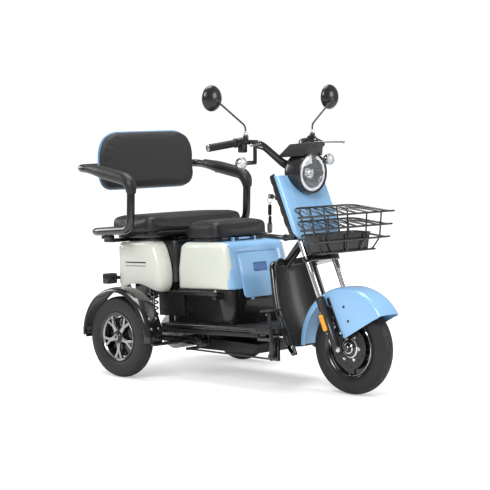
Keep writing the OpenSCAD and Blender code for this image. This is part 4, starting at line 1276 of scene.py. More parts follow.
@dataclass
class FrontBody:
    """Battery box under the rider: shell, side panels, door and skirt."""

    low_z: float = 386.0
    top_z: float = 590.0
    half_y: float = 200.0
    front_x: float = 524.0
    rear_x: float = 176.0
    waist_z: float = 470.0
    fall: float = 102.0
    seam_y: float = 165.0
    seam_x: float = 500.0
    wall: float = 4.0
    edge: float = 30.0
    hinge: Pair = (537.0, 347.0)
    lean: float = -13.0
    door: Sizes = (200.0, 125.0, 22.0)
    gap: float = 1.5
    pull: Sizes = (-152.0, -112.0, 44.0, 9.0)

    def ring(self, z: float, inset: float) -> list[Vector]:
        """Plan outline of the box at one height.

        Args:
            z: the height.
            inset: how far inside the outer skin.

        Returns:
            The outline's points.
        """
        lean = min(z, self.waist_z) - self.low_z
        upper = max(z - self.waist_z, 0.0)
        front = self.front_x - 20.0 * lean / (self.waist_z - self.low_z) - 20.0 * upper / self.fall
        rear = self.rear_x + 12.0 * upper / self.fall
        half = self.half_y - 8.0 * upper / self.fall
        over = max(0.0, z - (self.top_z - inset - self.edge))
        under = max(0.0, self.low_z + 10.0 - z)
        turn = self.edge - math.sqrt(max(0.0, self.edge ** 2 - over ** 2))
        turn += (10.0 - math.sqrt(max(0.0, 100.0 - under ** 2))) * 0.5
        inset += turn
        flat = rounded_rect(rear + inset, front - inset, -half + inset, half - inset, 46 - 0.5 * inset, 8)
        return [Vector((p.x, p.y, z)) for p in flat]

    def hollow(self, name: str) -> Object:
        """The whole box as a wall.

        Args:
            name: the object's name.

        Returns:
            The hollow box.
        """
        top = [self.top_z - self.edge * (1 - math.sin(math.radians(a))) for a in range(0, 91, 10)]
        levels = [386, 389, 392, 396, 415, 440, 470, 500, 530, *top]
        outer = loft(name, [self.ring(z, 0) for z in levels], B)
        inner_levels = [380, *levels[3:-1], self.top_z - self.wall]
        inner = loft("inner", [self.ring(min(z, self.top_z - self.wall), self.wall) for z in inner_levels], B)
        return carve(outer, inner)

    def side_panel(self, s: int) -> None:
        """One pale panel, cut from the box at its seams.

        Args:
            s: the side, -1 right, 1 left.
        """
        panel = self.hollow(f"box_side_panel_{NAMES[s]}")
        y = s * (self.seam_y + 0.6)
        carve(panel, box("c", (100, -s * 400, 300), (600, y, 700), B, 0),
              box("c", (self.seam_x - 0.6, -400, 300), (700, 400, 700), B, 0))
        bevel(panel, 0.0012, 2, 50)
        dress(smooth(panel, 40), CREAM, "chassis", f"side_panel_{NAMES[s]}")

    def shell(self) -> None:
        """The coloured shell with its door opening, seat bay and vents."""
        shell = self.hollow("battery_box_shell")
        zones = [box("c", (0, s * self.seam_y, 300), (self.seam_x, s * 400, 700), B, 0) for s in SIDES]
        high, half, corner = self.door
        opening = rounded_rect(-high - self.gap, self.gap, -half - self.gap, half + self.gap, corner + 1)
        door = slab("c", [opening], 120, 0.01, self.door_place(), 1)
        bay = slab("c", [rounded_rect(240, 380, -110, 110, 20)], 60, 0.01,
                   B @ Matrix.Translation((0, 0, 590)), 1)
        vents = [slab("c", [rounded_rect(x, x + 5, s * 118 - 22, s * 118 + 22, 2.4)], 30, 0.01,
                      B @ Matrix.Translation((0, 0, 588)), 1) for s in SIDES for x in (424, 434, 444)]
        carve(shell, *zones, door, bay, *vents)
        bevel(shell, 0.0012, 2, 50)
        lugs = [box("lug", (402, s * 62, 584), (418, s * 70, 605), B, 2) for s in SIDES]
        pin = bar("pin", (410, -70, 599), (410, 70, 599), 4, B)
        dress(join("battery_box_shell", smooth(shell, 40), *lugs, pin), SKY_BLUE, "chassis", "front_shell")

    def door_place(self) -> Matrix:
        """Frame of the leaning door: first axis down, second to the left, third out.

        Returns:
            The frame's matrix.
        """
        x, z = self.hinge
        return (B @ Matrix.Translation((x, 0, z)) @ Matrix.Rotation(math.radians(self.lean), 4, "Y")
                @ Matrix.Rotation(math.radians(90), 4, "Y"))

    def hatch(self) -> None:
        """Drop-down door with a finger pull sunk into it, its cup painted a darker blue as shade."""
        high, half, corner = self.door
        leaf = slab("battery_hatch", [rounded_rect(-high, 0, -half, half, corner)], 8, 2.4,
                    self.door_place() @ Matrix.Translation((0, 0, -4)), 4)
        low, top, side, turn = self.pull
        carve(leaf, slab("c", [rounded_rect(low, top, -side, side, turn)], 12, 2, self.door_place(), 3))
        eyes = [bar("eye", (530, s * 70, 341), (530, s * 90, 341), 6.8, B) for s in SIDES]
        dress(join("battery_hatch", smooth(leaf, 40), *eyes), SKY_BLUE, "battery_door", "battery_door")
        # The pull's cup is a darker blue than the door: painted shade in the recess.
        cup = slab("hatch_pull", [rounded_rect(low + 1, top - 1, 1 - side, side - 1, turn - 1)], 2, 0.5,
                   self.door_place() @ Matrix.Translation((0, 0, -3)), 2)
        dress(cup, SHADED_BLUE, "battery_door")

    def build(self) -> None:
        """Builds the front body."""
        self.shell()
        self.hatch()
        for s in SIDES:
            self.side_panel(s)
        dress(softened("box_skirt", "lower_skirt", 2), SHELL_BLACK, "chassis", "lower_skirt")
        splash = [box("splash", (58, s * 194, 262), (222, s * 198, 372), B, 1) for s in SIDES]
        dress(join("splash_plates", *splash), MOULDED_BLACK, "chassis")
        paint_node("battery_pack", CASE)


# ---- wheels ----
@dataclass
class Tyre:
    """A tyre whose grooves follow how far round and across each point lies."""

    name: str
    body: str
    at: Point
    radius: float
    width: float
    bead: float
    side: int = 1
    flowing: bool = False
    steps: int = 360

    def profile(self) -> list[tuple[float, float]]:
        """Section as (radius, height) from one bead over the tread to the other.

        Returns:
            The section's points.
        """
        half, r, b = self.width / 2, self.radius, self.bead
        wall = [(b, half * 0.66), (b + 3, half * 0.78), (b + 9, half * 0.84), (b + 10.5, half * 0.88),
                (b + 12, half * 0.90), (b + (r - b) * 0.34, half * 0.98), (b + (r - b) * 0.5, half),
                (b + (r - b) * 0.66, half * 0.99), (b + (r - b) * 0.76, half * 0.965)]
        crown = []
        for k in range(33):
            t = 1 - k / 16
            crown.append((r - (r - b) * 0.16 * abs(t) ** 2.3, half * 0.93 * t))
        inner = [(b + 1, -half * 0.5), (b + 8, -half * 0.4), (b + 8, half * 0.4), (b + 1, half * 0.5)]
        return wall + crown + [(p[0], -p[1]) for p in reversed(wall)] + inner

    def depth(self, turn: float, across: float) -> float:
        """Groove depth in mm at an angle in degrees and a distance from the middle.

        Args:
            turn: the angle round the tyre.
            across: distance from the middle in mm.

        Returns:
            The depth in mm.
        """
        u = across / (self.width / 2)
        if abs(u) > 0.93:
            return 0.0
        if self.flowing:
            swirl = (turn + 26 * abs(u) ** 1.6 * (1 if u > 0 else 0.9) + (10 if u > 0 else 0)) % 20
            hit = abs(swirl - 10) < 0.75 and 0.08 < abs(u) < 0.9
            return 2.2 if hit or abs(u) < 0.035 else 0.0
        ring = abs(abs(across) - 9.5) < 1.6
        lug = (turn + 0.35 * abs(across) + (6 if across > 0 else 0)) % 12
        return 2.8 if ring or (abs(across) > 11 and abs(lug - 6) < 0.8) else 0.0

    def build(self) -> None:
        """Makes the tyre."""
        x, y, z = self.at
        obj = lathe(self.name, self.profile(), self.at, (x, y + 1, z), V, self.steps)
        centre = V @ Vector(self.at)
        for vertex in obj.data.vertices:
            p = vertex.co - centre
            r = math.hypot(p.x, p.z)
            if r * 1000 < self.radius - 0.2 * (self.radius - self.bead):
                continue
            cut = self.depth(math.degrees(math.atan2(p.z, p.x)), p.y * 1000 * self.side) * 0.001
            vertex.co.x -= p.x / r * cut
            vertex.co.z -= p.z / r * cut
        dress(smooth(obj, 32), TYRE, self.body, self.name)


@dataclass
class Wheels:
    """Tyres, rims and rear mudguards."""

    spokes: int = 5

    def spin(self, name: str, profile: Path, at: Point, side: int, steps: int = 72) -> Object:
        """Spins a section about a wheel's axle, heights measured outwards."""
        return lathe(name, profile, at, (at[0], at[1] + side, at[2]), V, steps)

    def spoke_set(self, at: Point, side: int, outline: Path, height: float, depth: float) -> list[Object]:
        """The spokes of one rim, each cut to an outline that points up.

        Args:
            at: the wheel's centre.
            side: which way is outwards.
            outline: a spoke that points up.
            height: its middle along the axle.
            depth: its thickness.

        Returns:
            The spokes.
        """
        x, y, z = at
        parts = []
        for k in range(self.spokes):
            turn = Matrix.Rotation(math.radians(360 / self.spokes * k + 90), 4, "Y")
            place = V @ Matrix.Translation((x, y + side * height, z)) @ turn @ upright(0)
            rounded = bend([(px, py, 0) for px, py in outline], [3] * len(outline), 3, True)
            parts.append(slab("spoke", [rounded], depth, 2.6, place, 3))
        return parts

    def rear(self, s: int) -> None:
        """One rear wheel: black well, bright forked spokes and a dark cap.

        Args:
            s: the side, -1 right, 1 left.
        """
        side = NAMES[s]
        at = (0.0, s * REAR_TRACK / 2, REAR_R)
        Tyre(f"rear_tyre_{side}", f"rear_wheel_{side}", at, REAR_R, 72, 106, s).build()
        well = [(105, -31), (110, -32), (111.5, -29), (108, -26), (100, -22), (97, -8), (97, 8), (100, 22),
                (108, 26), (111.5, 29), (110, 32), (105, 31), (99, 27), (93, 20), (91, 0), (93, -20),
                (99, -27)]
        hub = [(0, -28), (30, -28), (34, -22), (30, -8), (30, 10), (34, 18), (32, 24), (24, 27), (0, 27)]
        cap = [(0, 24), (21, 24), (21, 29), (17, 33), (9, 35), (0, 35.5)]
        drum = [(28, -20), (86, -20), (89, -16), (87, -4), (64, 3), (28, 3)]
        barrel = join("r", self.spin("well", well, at, s), self.spin("hub", hub, at, s),
                      self.spin("drum", drum, at, s))
        dress(join(f"rear_rim_{side}", barrel), BLACK_ALLOY, f"rear_wheel_{side}", f"rear_rim_{side}")
        fork = [(26, -11), (56, -8), (95, -25), (95, -12), (68, 0), (95, 12), (95, 25), (56, 8), (26, 11)]
        spokes = self.spoke_set(at, s, fork, 19, 13)
        lip = self.spin("lip", [(95, 20), (99.5, 26.5), (98.5, 27.5), (94, 21.5)], at, s)
        dress(join(f"rear_spokes_{side}", lip, *spokes), ALLOY, f"rear_wheel_{side}")
        nut = bar("nut", (0, at[1] + s * 35, REAR_R), (0, at[1] + s * 41, REAR_R), 8, V, 1.2, 6)
        dress(join(f"rear_cap_{side}", self.spin("cap", cap, at, s, 40), nut), DARK_STEEL,
              f"rear_wheel_{side}")

    def front(self) -> None:
        """Front wheel: black cast rim with bright rings and a small disc."""
        at = (WHEELBASE, 0.0, FRONT_R)
        Tyre("front_tyre", "front_wheel", at, FRONT_R, 78, 128, -1, True).build()
        well = [(127, -33), (133, -34.5), (134, -31), (130, -27), (121, -23), (118, -8), (118, 8), (121, 23),
                (130, 27), (134, 31), (133, 34.5), (127, 33), (120, 28), (114, 20), (112, 0), (114, -20),
                (120, -28)]
        hub = [(0, -33), (24, -33), (40, -26), (42, -18), (30, -10), (30, 10), (42, 18), (40, 26), (24, 33),
               (0, 33)]
        blade = [(28, -16), (70, -11), (116, -19), (116, 19), (70, 11), (28, 16)]
        web = [(40, -5), (113, -9), (113, 9), (40, 5)]
        parts = [self.spin("well", well, at, 1), self.spin("hub", hub, at, 1), self.spin("web", web, at, 1)]
        parts += self.spoke_set(at, 1, blade, 0, 30)
        dress(join("front_rim", *parts), BLACK_ALLOY, "front_wheel", "front_rim")
        rings = []
        for s in SIDES:
            rings.append(self.spin("ring", [(20, 32), (25, 32), (25, 36), (22, 38), (20, 38)], at, s, 48))
            rings.append(self.spin("ring", [(113, 20.5), (119, 28), (117.5, 29), (112, 21.5)], at, s))
            rings.append(self.spin("ring", [(36, 26), (44, 23), (44, 26.5), (38, 28.5)], at, s, 56))
        for k in range(6):
            a = math.tau * k / 6
            x, z = at[0] + 54 * math.cos(a), at[2] + 54 * math.sin(a)
            rings.append(bolt((x, -29, z), (x, -34, z), 5, V))
        dress(join("front_rim_rings", *rings), CHROME, "front_wheel")
        disc = [(46, -29.5), (92, -29.5), (92, -26), (46, -26)]
        plate = self.spin("disc", disc, at, 1, 96)
        holes = []
        for k in range(18):
            a, r = math.radians(20 * k), 62 + 9 * (k % 3)
            x, z = at[0] + r * math.cos(a), at[2] + r * math.sin(a)
            holes.append(bar("hole", (x, -45, z), (x, -15, z), 3.2, V, 0, 16))
        dress(smooth(carve(plate, join("holes", *holes)), 30), DARK_STEEL, "front_wheel")

    def guard(self, s: int) -> None:
        """Rear mudguard: crowned arc with a rolled outer edge and its bolts.

        Args:
            s: the side, -1 right, 1 left.
        """
        side, centre = NAMES[s], REAR_TRACK / 2
        section = [(-43, 213), (-41, 217), (-30, 219.5), (-8, 220), (18, 219.5), (34, 217.5), (44, 214),
                   (49, 209), (50.5, 204), (49, 202.5), (46.5, 203)]
        rows = []
        for k in range(73):
            a = -2 + 184 * k / 72
            end = min(1.0, k / 3, (72 - k) / 3)
            grow = 1.5 * (1 - end)
            rows.append([Vector(((r - grow) * math.cos(math.radians(a)), s * (centre + y),
                                 REAR_R + (r - grow) * math.sin(math.radians(a)))) for y, r in section])
        arc = sheet_grid(f"rear_mudguard_{side}", rows, 3.2, V, 0.0012)
        edges = [tube("edge", [row[i] for row in rows], 2.6, V) for i in (0, -2)]
        dress(join(f"rear_mudguard_{side}", arc, *edges), GLOSS_BLACK, "rear_axle", f"rear_fender_{side}")
        heads = []
        for a in (14, 26, 154, 168):
            c, q = math.cos(math.radians(a)), math.sin(math.radians(a))
            for y in (-20, 20):
                at = Vector((220 * c, s * (centre + y), REAR_R + 220 * q))
                heads.append(bolt(at, at + Vector((5 * c, 0, 5 * q)), 4.5, V))
        dress(join(f"mudguard_bolts_{side}", *heads), STEEL, "rear_axle")

    def build(self) -> None:
        """Builds all wheels and mudguards."""
        for s in SIDES:
            self.rear(s)
            self.guard(s)
        self.front()


# ---- fork ----
@dataclass
class ForkSet:
    """Fork legs, reflectors and the front mudguard."""

    leg_x: float = -18.0
    leg_y: float = 85.0
    tube_r: float = 13.0
    guard_y: float = 61.5
    crown_r: float = 257.0

    def leg(self, s: int) -> None:
        """One telescopic leg.

        Args:
            s: the side, -1 right, 1 left.
        """
        x, y = self.leg_x, s * self.leg_y
        side = NAMES[s]
        stanchion = bar("s", (x, y, 134), (x, y, 624), self.tube_r, F, 2, 40)
        dress(join(f"stanchion_{side}", stanchion), CHROME, "steering", "fork_stanchions")
        section = [(0, -16), (12, -16), (16, -12), (17.5, -8), (17.5, 92), (16.6, 96), (16.6, 176),
                   (18.6, 181), (18.6, 208), (19.6, 210), (19.6, 229), (17, 232), (13.3, 233), (13.3, 60),
                   (0, 60)]
        slider = lathe("slider", section, (x, y, 0), (x, y, 1), F, 40)
        lug = box("lug", (x - 6, y - 10, -12), (12, y + 10, 12), F, 3)
        clamp = [box("clamp", (x + 6, s * self.guard_y, z), (x + 24, y - s * 11, z + 14), F, 2)
                 for z in (128, 178)]
        strip = box("strip", (x + 17, s * (self.guard_y + 1), 56), (x + 34, s * (self.guard_y + 6), 226), F,
                    2.4)
        dress(join(f"slider_{side}", slider, lug), DARK_STEEL, "fork_lower", "fork_sliders")
        dress(join(f"guard_bracket_{side}", strip, *clamp), GLOSS_BLACK, "fork_lower")
        seal = lathe("seal", [(13.2, 226), (19, 226), (19, 234), (16, 238), (13.2, 239)], (x, y, 0),
                     (x, y, 1), F, 36)
        dress(join(f"dust_seal_{side}", seal), RUBBER, "fork_lower")
        nuts = [bar("nut", (0, y + s * 9, 0), (0, y + s * 17, 0), 13, F, 1.5, 6),
                bar("end", (0, y + s * 17, 0), (0, y + s * 22, 0), 7, F, 1),
                bar("spacer", (0, s * 34, 0), (0, y - s * 8, 0), 12, F, 1.5),
                bolt((x + 34, y - s * 15, 64), (x + 38, y - s * 15, 64), 4, F)]
        dress(join(f"axle_nuts_{side}", *nuts), CHROME, "fork_lower")

    def reflector(self, s: int) -> None:
        """Amber reflector with round ends on a dark base.

        Args:
            s: the side, -1 right, 1 left.
        """
        x, y = self.leg_x - 9, s * (self.leg_y + 18)
        lens = slab("lens", [rounded_rect(x - 10, x + 10, 92, 166, 9.5)], 12, 4, F @ upright(y + s * 2), 4)
        ribs = [bar("rib", (x - 6, y + s * 8.4, z), (x + 6, y + s * 8.4, z), 1.2, F, 0.3, 10)
                for z in range(104, 158, 6)]
        base = slab("base", [rounded_rect(x - 11.5, x + 11.5, 89, 169, 11)], 6, 1, F @ upright(y - s * 6))
        heads = [bolt((x, y - s * 3, z), (x, y + s * 4, z), 3.6, F) for z in (82, 176)]
        ears = slab("ears", [rounded_rect(x - 7, x + 7, 76, 182, 6.5)], 4, 1, F @ upright(y - s * 6))
        # The reflector's amber finish glows as painted light; a reflector has no lamp inside it.
        dress(join(f"reflector_{NAMES[s]}", lens, *ribs), AMBER, "fork_lower", "fork_reflectors")
        dress(join(f"reflector_base_{NAMES[s]}", base, ears), MOULDED_BLACK, "fork_lower")
        dress(join(f"reflector_screws_{NAMES[s]}", *heads), STEEL, "fork_lower")

    def low_edge(self, a: float) -> float:
        """Radius of the mudguard's lower edge at an angle in degrees from straight ahead.

        Args:
            a: the angle.

        Returns:
            The radius in mm.
        """
        front, tip, rear = (Vector((200, 156)), Vector((4, 44)), Vector((-104, 199)))
        ray = Vector((math.cos(math.radians(a)), math.sin(math.radians(a))))
        split = math.degrees(math.atan2(tip.y, tip.x))
        if a > math.degrees(math.atan2(rear.y, rear.x)):
            return 224.0
        p, q = (front, tip) if a < split else (tip, rear)
        d = q - p
        return (p.x * d.y - p.y * d.x) / (ray.x * d.y - ray.y * d.x)

    def guard(self) -> None:
        """Front mudguard: round crown, straight flanks down to a soft point at each side."""
        half = self.guard_y
        rows = []
        for k in range(97):
            a = 38 + 144 * k / 96
            low = min(self.low_edge(a), 238.0)
            fade = min(1.0, k / 8)
            top = self.crown_r - 3 * (1 - fade)
            arc = []
            for i in range(21):
                t = math.pi * i / 20
                y = half * math.copysign(abs(math.cos(t)) ** 0.5, math.cos(t))
                arc.append((y, 234 + (top - 234) * math.sin(t) ** 0.62))
            wall = [(half + 1.0 * math.sin(math.pi * i / 9), low + (234 - low) * i / 9) for i in range(9)]
            section = wall + arc + [(-y, r) for y, r in reversed(wall)]
            c, q = math.cos(math.radians(a)), math.sin(math.radians(a))
            rows.append([Vector((WHEELBASE + r * c, y, FRONT_R + r * q)) for y, r in section])
        skin = sheet_grid("front_mudguard", rows, 3.2, V, 0.0012)
        dress(skin, SKY_BLUE, "fork_lower", "front_fender")
        heads = []
        for s in SIDES:
            for x, z in ((-2, 176), (24, 118)):
                at = Vector((WHEELBASE + x, s * (half + 2), FRONT_R + z))
                heads.append(bolt(at, at + Vector((0, s * 3.5, 0)), 4.2, V))
        dress(join("front_mudguard_bolts", *heads), DARK_STEEL, "fork_lower")

    def build(self) -> None:
        """Builds the fork set."""
        for s in SIDES:
            self.leg(s)
            self.reflector(s)
        self.guard()
        dress(softened("triple_clamps", "fork_crowns", 1.5), GLOSS_BLACK, "steering", "fork_crowns")


# ---- floor ----
@dataclass
class Deck:
    """Step-through floor and the shield behind the front wheel."""

    axis: float = AXIS_X
    first: float = 137.0
    last: float = 223.0
    edge_y: float = 231.0
    trim_x: Pair = (112.0, 700.0)
    plate_x: Pair = (664.0, 800.0)

    def point(self, a: float, r: float, h: float) -> Vector:
        """A point at an angle, radius and height about the steering axis."""
        return Vector((self.axis + r * math.cos(math.radians(a)), r * math.sin(math.radians(a)), h))

    def shield(self) -> None:
        """Curved shield with thick rounded rims."""
        line = [(206.5, 98), (206.5, 170), (206, 238), (203, 275), (198, 311), (190, 350), (182, 388),
                (174, 424), (167, 448), (158, 462), (146, 468), (134, 469)]
        rows = [[self.point(self.first + (self.last - self.first) * k / 48, r, h) for r, h in line]
                for k in range(49)]
        skin = sheet_grid("leg_shield_skin", rows, 4.6, F, 0.001)
        half = [self.point(self.first - 1.3, r + 13, h) for r, h in line[:8]]
        for k in range(1, 9):
            turn = math.radians(90 * k / 8)
            drop = 1 - math.cos(turn)
            half.append(self.point(self.first - 1.3 + 9 * drop, 187 - 17 * drop, 424 + 34 * math.sin(turn)))
        start = self.first + 7.7
        half += [self.point(start + (180 - start) * k / 12, 170, 458) for k in range(1, 13)]
        rim = tube("shield_rims", half + [Vector((p.x, -p.y, p.z)) for p in reversed(half[:-1])], 13.0, F,
                   detail=6)
        dress(skin, MOULDED_BLACK, "chassis", "leg_shield")
        dress(rim, GLOSS_BLACK, "chassis")
        heads = [bolt(self.point(a, r - 1, h), self.point(a, r - 5, h), 5, F)
                 for a in (143, 217) for r, h in ((199, 292), (205, 150))]
        dress(join("shield_screws", *heads), DARK_STEEL, "chassis")

    def build(self) -> None:
        """Builds the floor and shield."""
        self.shield()
        dress(softened("step_floor", "floorboard", 1.5), MOULDED_BLACK, "chassis", "floorboard")
        trims = [tube("trim", [(x, s * self.edge_y, z) for x in self.trim_x], radius, B, detail=detail)
                 for s in SIDES for z, radius, detail in ((226, 6.5, 5), (216, 3.5, 4))]
        dress(join("floor_edge_trims", *trims), GLOSS_BLACK, "chassis")
        start, end = self.plate_x
        plates = [box("plate", (start, s * self.edge_y, 208), (end, s * (self.edge_y + 4), 231), B, 1.5)
                  for s in SIDES]
        dress(join("floor_side_plates", *plates), DARK_STEEL, "chassis")


# ---- handlebar ----
@dataclass
class Cockpit:
    """Handlebar with its grips, levers, switches, mirrors, signals and hoses."""

    bar_r: float = 11.0
    bends: tuple = ((722, 0, 950), (700, 62, 962), (614, 122, 1050), (596, 190, 1053))
    grip_in: Point = (582, 240, 1050)
    grip_out: Point = (530, 350, 1030)
    lever_pivot: Point = (655, 176, 1046)
    lever_tip: Point = (720, 288, 1045)
    stem_foot: Point = (608, 208, 1078)
    mirror: Point = (572, 366, 1240)
    signal: Point = (640, 273, 967)

    @staticmethod
    def flip(point: Point, s: int) -> Vector:
        """Moves a point given for the left side to either side."""
        return Vector((point[0], s * point[1], point[2]))

    def handlebar(self) -> None:
        """The bent tube."""
        half = [self.flip(p, 1) for p in self.bends[1:]] + [Vector(self.grip_in), Vector(self.grip_out)]
        path = [self.flip(p, -1) for p in reversed(half)] + half
        radii = [0, 12, 18, 28, 28, 28, 28, 18, 12, 0]
        pipe = tube("bar", bend(path, radii, 9), self.bar_r, V, detail=7)
        dress(join("handlebar_tube", pipe), GLOSS_BLACK, "steering", "handlebar")

    def grip(self, s: int) -> None:
        """Ribbed rubber grip with its bright end plug.

        Args:
            s: the side, -1 right, 1 left.
        """
        a, b = self.flip(self.grip_in, s), self.flip(self.grip_out, s)
        length = (b - a).length
        section = [(11.2, 2), (20.5, 2), (21, 4), (20.5, 7), (17, 9)]
        h = 11.0
        while h < length - 8:
            section += [(16.4, h), (16.4, h + 3.4), (15.5, h + 3.9), (15.5, h + 5.3)]
            h += 5.8
        section += [(16.8, length - 5), (16.8, length + 1), (14, length + 2.4), (11.2, length + 2.4)]
        body, node = ("steering", "grip_left") if s > 0 else ("throttle", "throttle_grip")
        dress(lathe(f"grip_{NAMES[s]}", section, a, b, V, 48), RUBBER, body, node)
        plug = [(0, length - 2), (10.5, length - 2), (15.8, length + 1), (15.8, length + 6),
                (13, length + 9.5), (0, length + 10.5)]
        dress(lathe(f"grip_plug_{NAMES[s]}", plug, a, b, V, 40), ALLOY, body)

    def pod(self, s: int) -> None:
        """Switch block, master lever mount and the signal's arm, with small buttons.

        Args:
            s: the side, -1 right, 1 left.
        """
        a, b = self.flip(self.grip_in, s), self.flip(self.grip_out, s)
        axis = (b - a).normalized()
        clamp = lathe("clamp", [(11.2, -37), (18, -37), (20, -35), (20, -22), (18.5, -21), (18.5, -19),
                                (20, -18), (20, -4), (18, -2), (11.2, -2)], a, b, V, 40)
        mid = a - axis * 20
        low = Vector((mid.x - 4, mid.y - 14, mid.z - 44))
        drop = box("drop", low, low + Vector((34, 28, 36)), V, 5, 4)
        px, py, _ = self.lever_pivot
        fx, fy, fz = self.stem_foot
        lx, ly, lz = self.signal
        perch = box("perch", self.flip((px - 40, py - 10, 1036.5), s), self.flip((px, py + 14, 1055.5), s), V,
                    4, 4)
        foot = bar("foot", self.flip((fx, fy, fz - 26), s), self.flip((fx, fy, fz + 5), s), 12, V, 2)
        yoke = [bar("yoke", self.flip((px, py, z), s), self.flip((px, py, z + 5.6), s), 12, V, 1.2)
                for z in (1036, 1050.4)]
        post = box("post", self.flip((lx - 7, 177, lz - 1), s), self.flip((lx + 7, 191, 1044), s), V, 4, 4)
        arm = bar("arm", self.flip((lx, 180, lz), s), self.flip((lx, ly - 23, lz), s), 9, V, 2.5)
        dress(join(f"control_pod_{NAMES[s]}", clamp, drop, perch, foot, post, arm, *yoke), SHELL_BLACK,
              "steering", "control_pods")
        face = low + Vector((0, 14, 18))
        rear = [bolt(face + Vector((0, dy, dz)), face + Vector((-4, dy, dz)), r, V)
                for dy, dz, r in ((-6, 8, 3.2), (6, 8, 3.2), (0, -7, 5))]
        dress(join(f"pod_buttons_{NAMES[s]}", *rear), STEEL, "steering")
        pin = bolt(self.flip((px, py, 1056), s), self.flip((px, py, 1060), s), 4.5, V)
        dress(join(f"pod_screws_{NAMES[s]}", pin), STEEL, "steering")

    def lever(self, s: int) -> None:
        """Curved brake lever with a ball end.

        Args:
            s: the side, -1 right, 1 left.
        """
        p, q = self.flip(self.lever_pivot, s), self.flip(self.lever_tip, s)
        across = Vector((6, -3 * s, 0))
        path = [p, p.lerp(q, 0.12) + across * 0.4, p.lerp(q, 0.35) + across * 0.9,
                p.lerp(q, 0.65) + across * 0.7, p.lerp(q, 0.9), q]
        blade = tube("blade", bend(path, [0, 8, 12, 12, 6, 0], 6), 4.4, V, detail=5)
        eye = bar("eye", p - Vector((0, 0, 3.6)), p + Vector((0, 0, 3.6)), 9.5, V, 1.2)
        ball = lathe("ball", [(0, -7), *[(7 * math.cos(math.radians(t)), 7 * math.sin(math.radians(t)))
                                         for t in range(-75, 76, 15)], (0, 7)],
                     q, q + Vector((0, 0, 1)), V, 24)
        dress(join(f"lever_{NAMES[s]}", blade, eye, ball), STEEL, f"brake_lever_{NAMES[s]}",
              f"brake_lever_{NAMES[s]}")

    def mirror_set(self, s: int) -> None:
        """Round mirror on a bent stem.

        Args:
            s: the side, -1 right, 1 left.
        """
        c, foot = self.flip(self.mirror, s), self.flip(self.stem_foot, s)
        shell = [(0, 19), (16, 18), (30, 14.5), (42, 8.5), (50, 1.5), (54.3, -5), (55, -9), (54, -12),
                 (51.5, -12.4), (50, -11), (50, -8.5), (0, -8.5)]
        head = lathe("head", shell, c, c + Vector((1, 0, 0)), V, 72)
        knuckle = c + Vector((17, -s * 9, -12))
        ball = lathe("ball", [(0, -10), (6, -8.5), (9.5, -4), (10, 0), (9.5, 4), (6, 8.5), (0, 10)], knuckle,
                     knuckle + Vector((0, -0.4 * s, -1)), V, 28)
        path = bend([foot + Vector((0, 0, 6)), self.flip((606, 208, 1122), s), knuckle], [0, 16, 0], 10)
        stem = tube("stem", path, 4.0, V, detail=5)
        dress(join(f"mirror_{NAMES[s]}_shell", head, ball), SHELL_BLACK, f"mirror_{NAMES[s]}",
              f"mirror_{NAMES[s]}")
        nut = bar("nut", foot + Vector((0, 0, 5)), foot + Vector((0, 0, 14)), 9.5, V, 1.4, 6)
        collar = bar("collar", foot + Vector((0, 0, 14)), foot + Vector((0, 0, 21)), 6.2, V, 1.2)
        dress(join(f"mirror_{NAMES[s]}_stem", stem), DARK_STEEL, f"mirror_{NAMES[s]}")
        dress(join(f"mirror_{NAMES[s]}_nut", nut, collar), CHROME, f"mirror_{NAMES[s]}")
        glass = lathe("glass", [(0, -10.2), (30, -10.0), (50, -9.2), (50, -8), (0, -8)], c,
                      c + Vector((1, 0, 0)), V, 72)
        dress(join(f"mirror_{NAMES[s]}_glass", glass), MIRROR, f"mirror_{NAMES[s]}")

    def signal_lamp(self, s: int) -> None:
        """Round turn signal: dark bowl, bright rim and a pale fluted lens.

        Args:
            s: the side, -1 right, 1 left.
        """
        c = self.flip(self.signal, s)
        ahead = c + Vector((1, 0, 0))
        section = [(0, -18), (10, -17), (19, -11), (23.5, -1), (24.5, 9), (22, 9), (20, 0), (0, -6)]
        bowl = lathe("bowl", section, c, ahead, V, 48)
        stalk = bar("stalk", c - Vector((0, s * 26, 0)), c - Vector((0, s * 18, 0)), 7, V, 1.5)
        dress(join(f"signal_{NAMES[s]}", bowl, stalk), SHELL_BLACK, "steering", "turn_signals")
        rim = lathe("rim", [(21, 7), (25, 7), (25.6, 11), (25, 16), (22.5, 19), (21, 18)], c, ahead, V, 56)
        dress(join(f"signal_rim_{NAMES[s]}", rim), CHROME, "steering")
        lens = lathe("lens", [(0, 22.5), (8, 22), (15, 20), (20, 16.5), (21.5, 14), (20, 12), (0, 13)], c,
                     ahead, V, 48)
        for vertex in lens.data.vertices:
            p = vertex.co - V @ c
            if p.x > 0.0135:
                vertex.co.x += 0.0004 * math.sin(p.y * 2600)
        dress(smooth(lens, 60), PALE_LENS, "steering")

    def hoses(self, s: int) -> None:
        """Brake hose and wiring that follow the bar down to the head.

        Args:
            s: the side, -1 right, 1 left.
        """
        parts = []
        for k, (off, r) in enumerate((((16, -4, -6), 5.5), ((-4, -8, -16), 4.5), ((10, -10, -18), 3.5))):
            d = self.flip(off, s)
            pts = [self.flip(p, s) for p in ((640, 176, 1046), (604, 150, 1046), (618, 118, 1040),
                                             (690, 66, 960), (708, 34, 936))]
            pts = [pts[0]] + [p + d for p in pts[1:-1]] + [pts[-1] + Vector((k * 4 - 4, 0, -k * 6))]
            parts.append(tube("hose", bend(pts, [0, 14, 20, 24, 0], 8), r, V, detail=4))
        dress(join(f"bar_hoses_{NAMES[s]}", *parts), RUBBER, "steering")

    def build(self) -> None:
        """Builds everything on the bar."""
        self.handlebar()
        for s in SIDES:
            self.grip(s)
            self.pod(s)
            self.lever(s)
            self.mirror_set(s)
            self.signal_lamp(s)
            self.hoses(s)


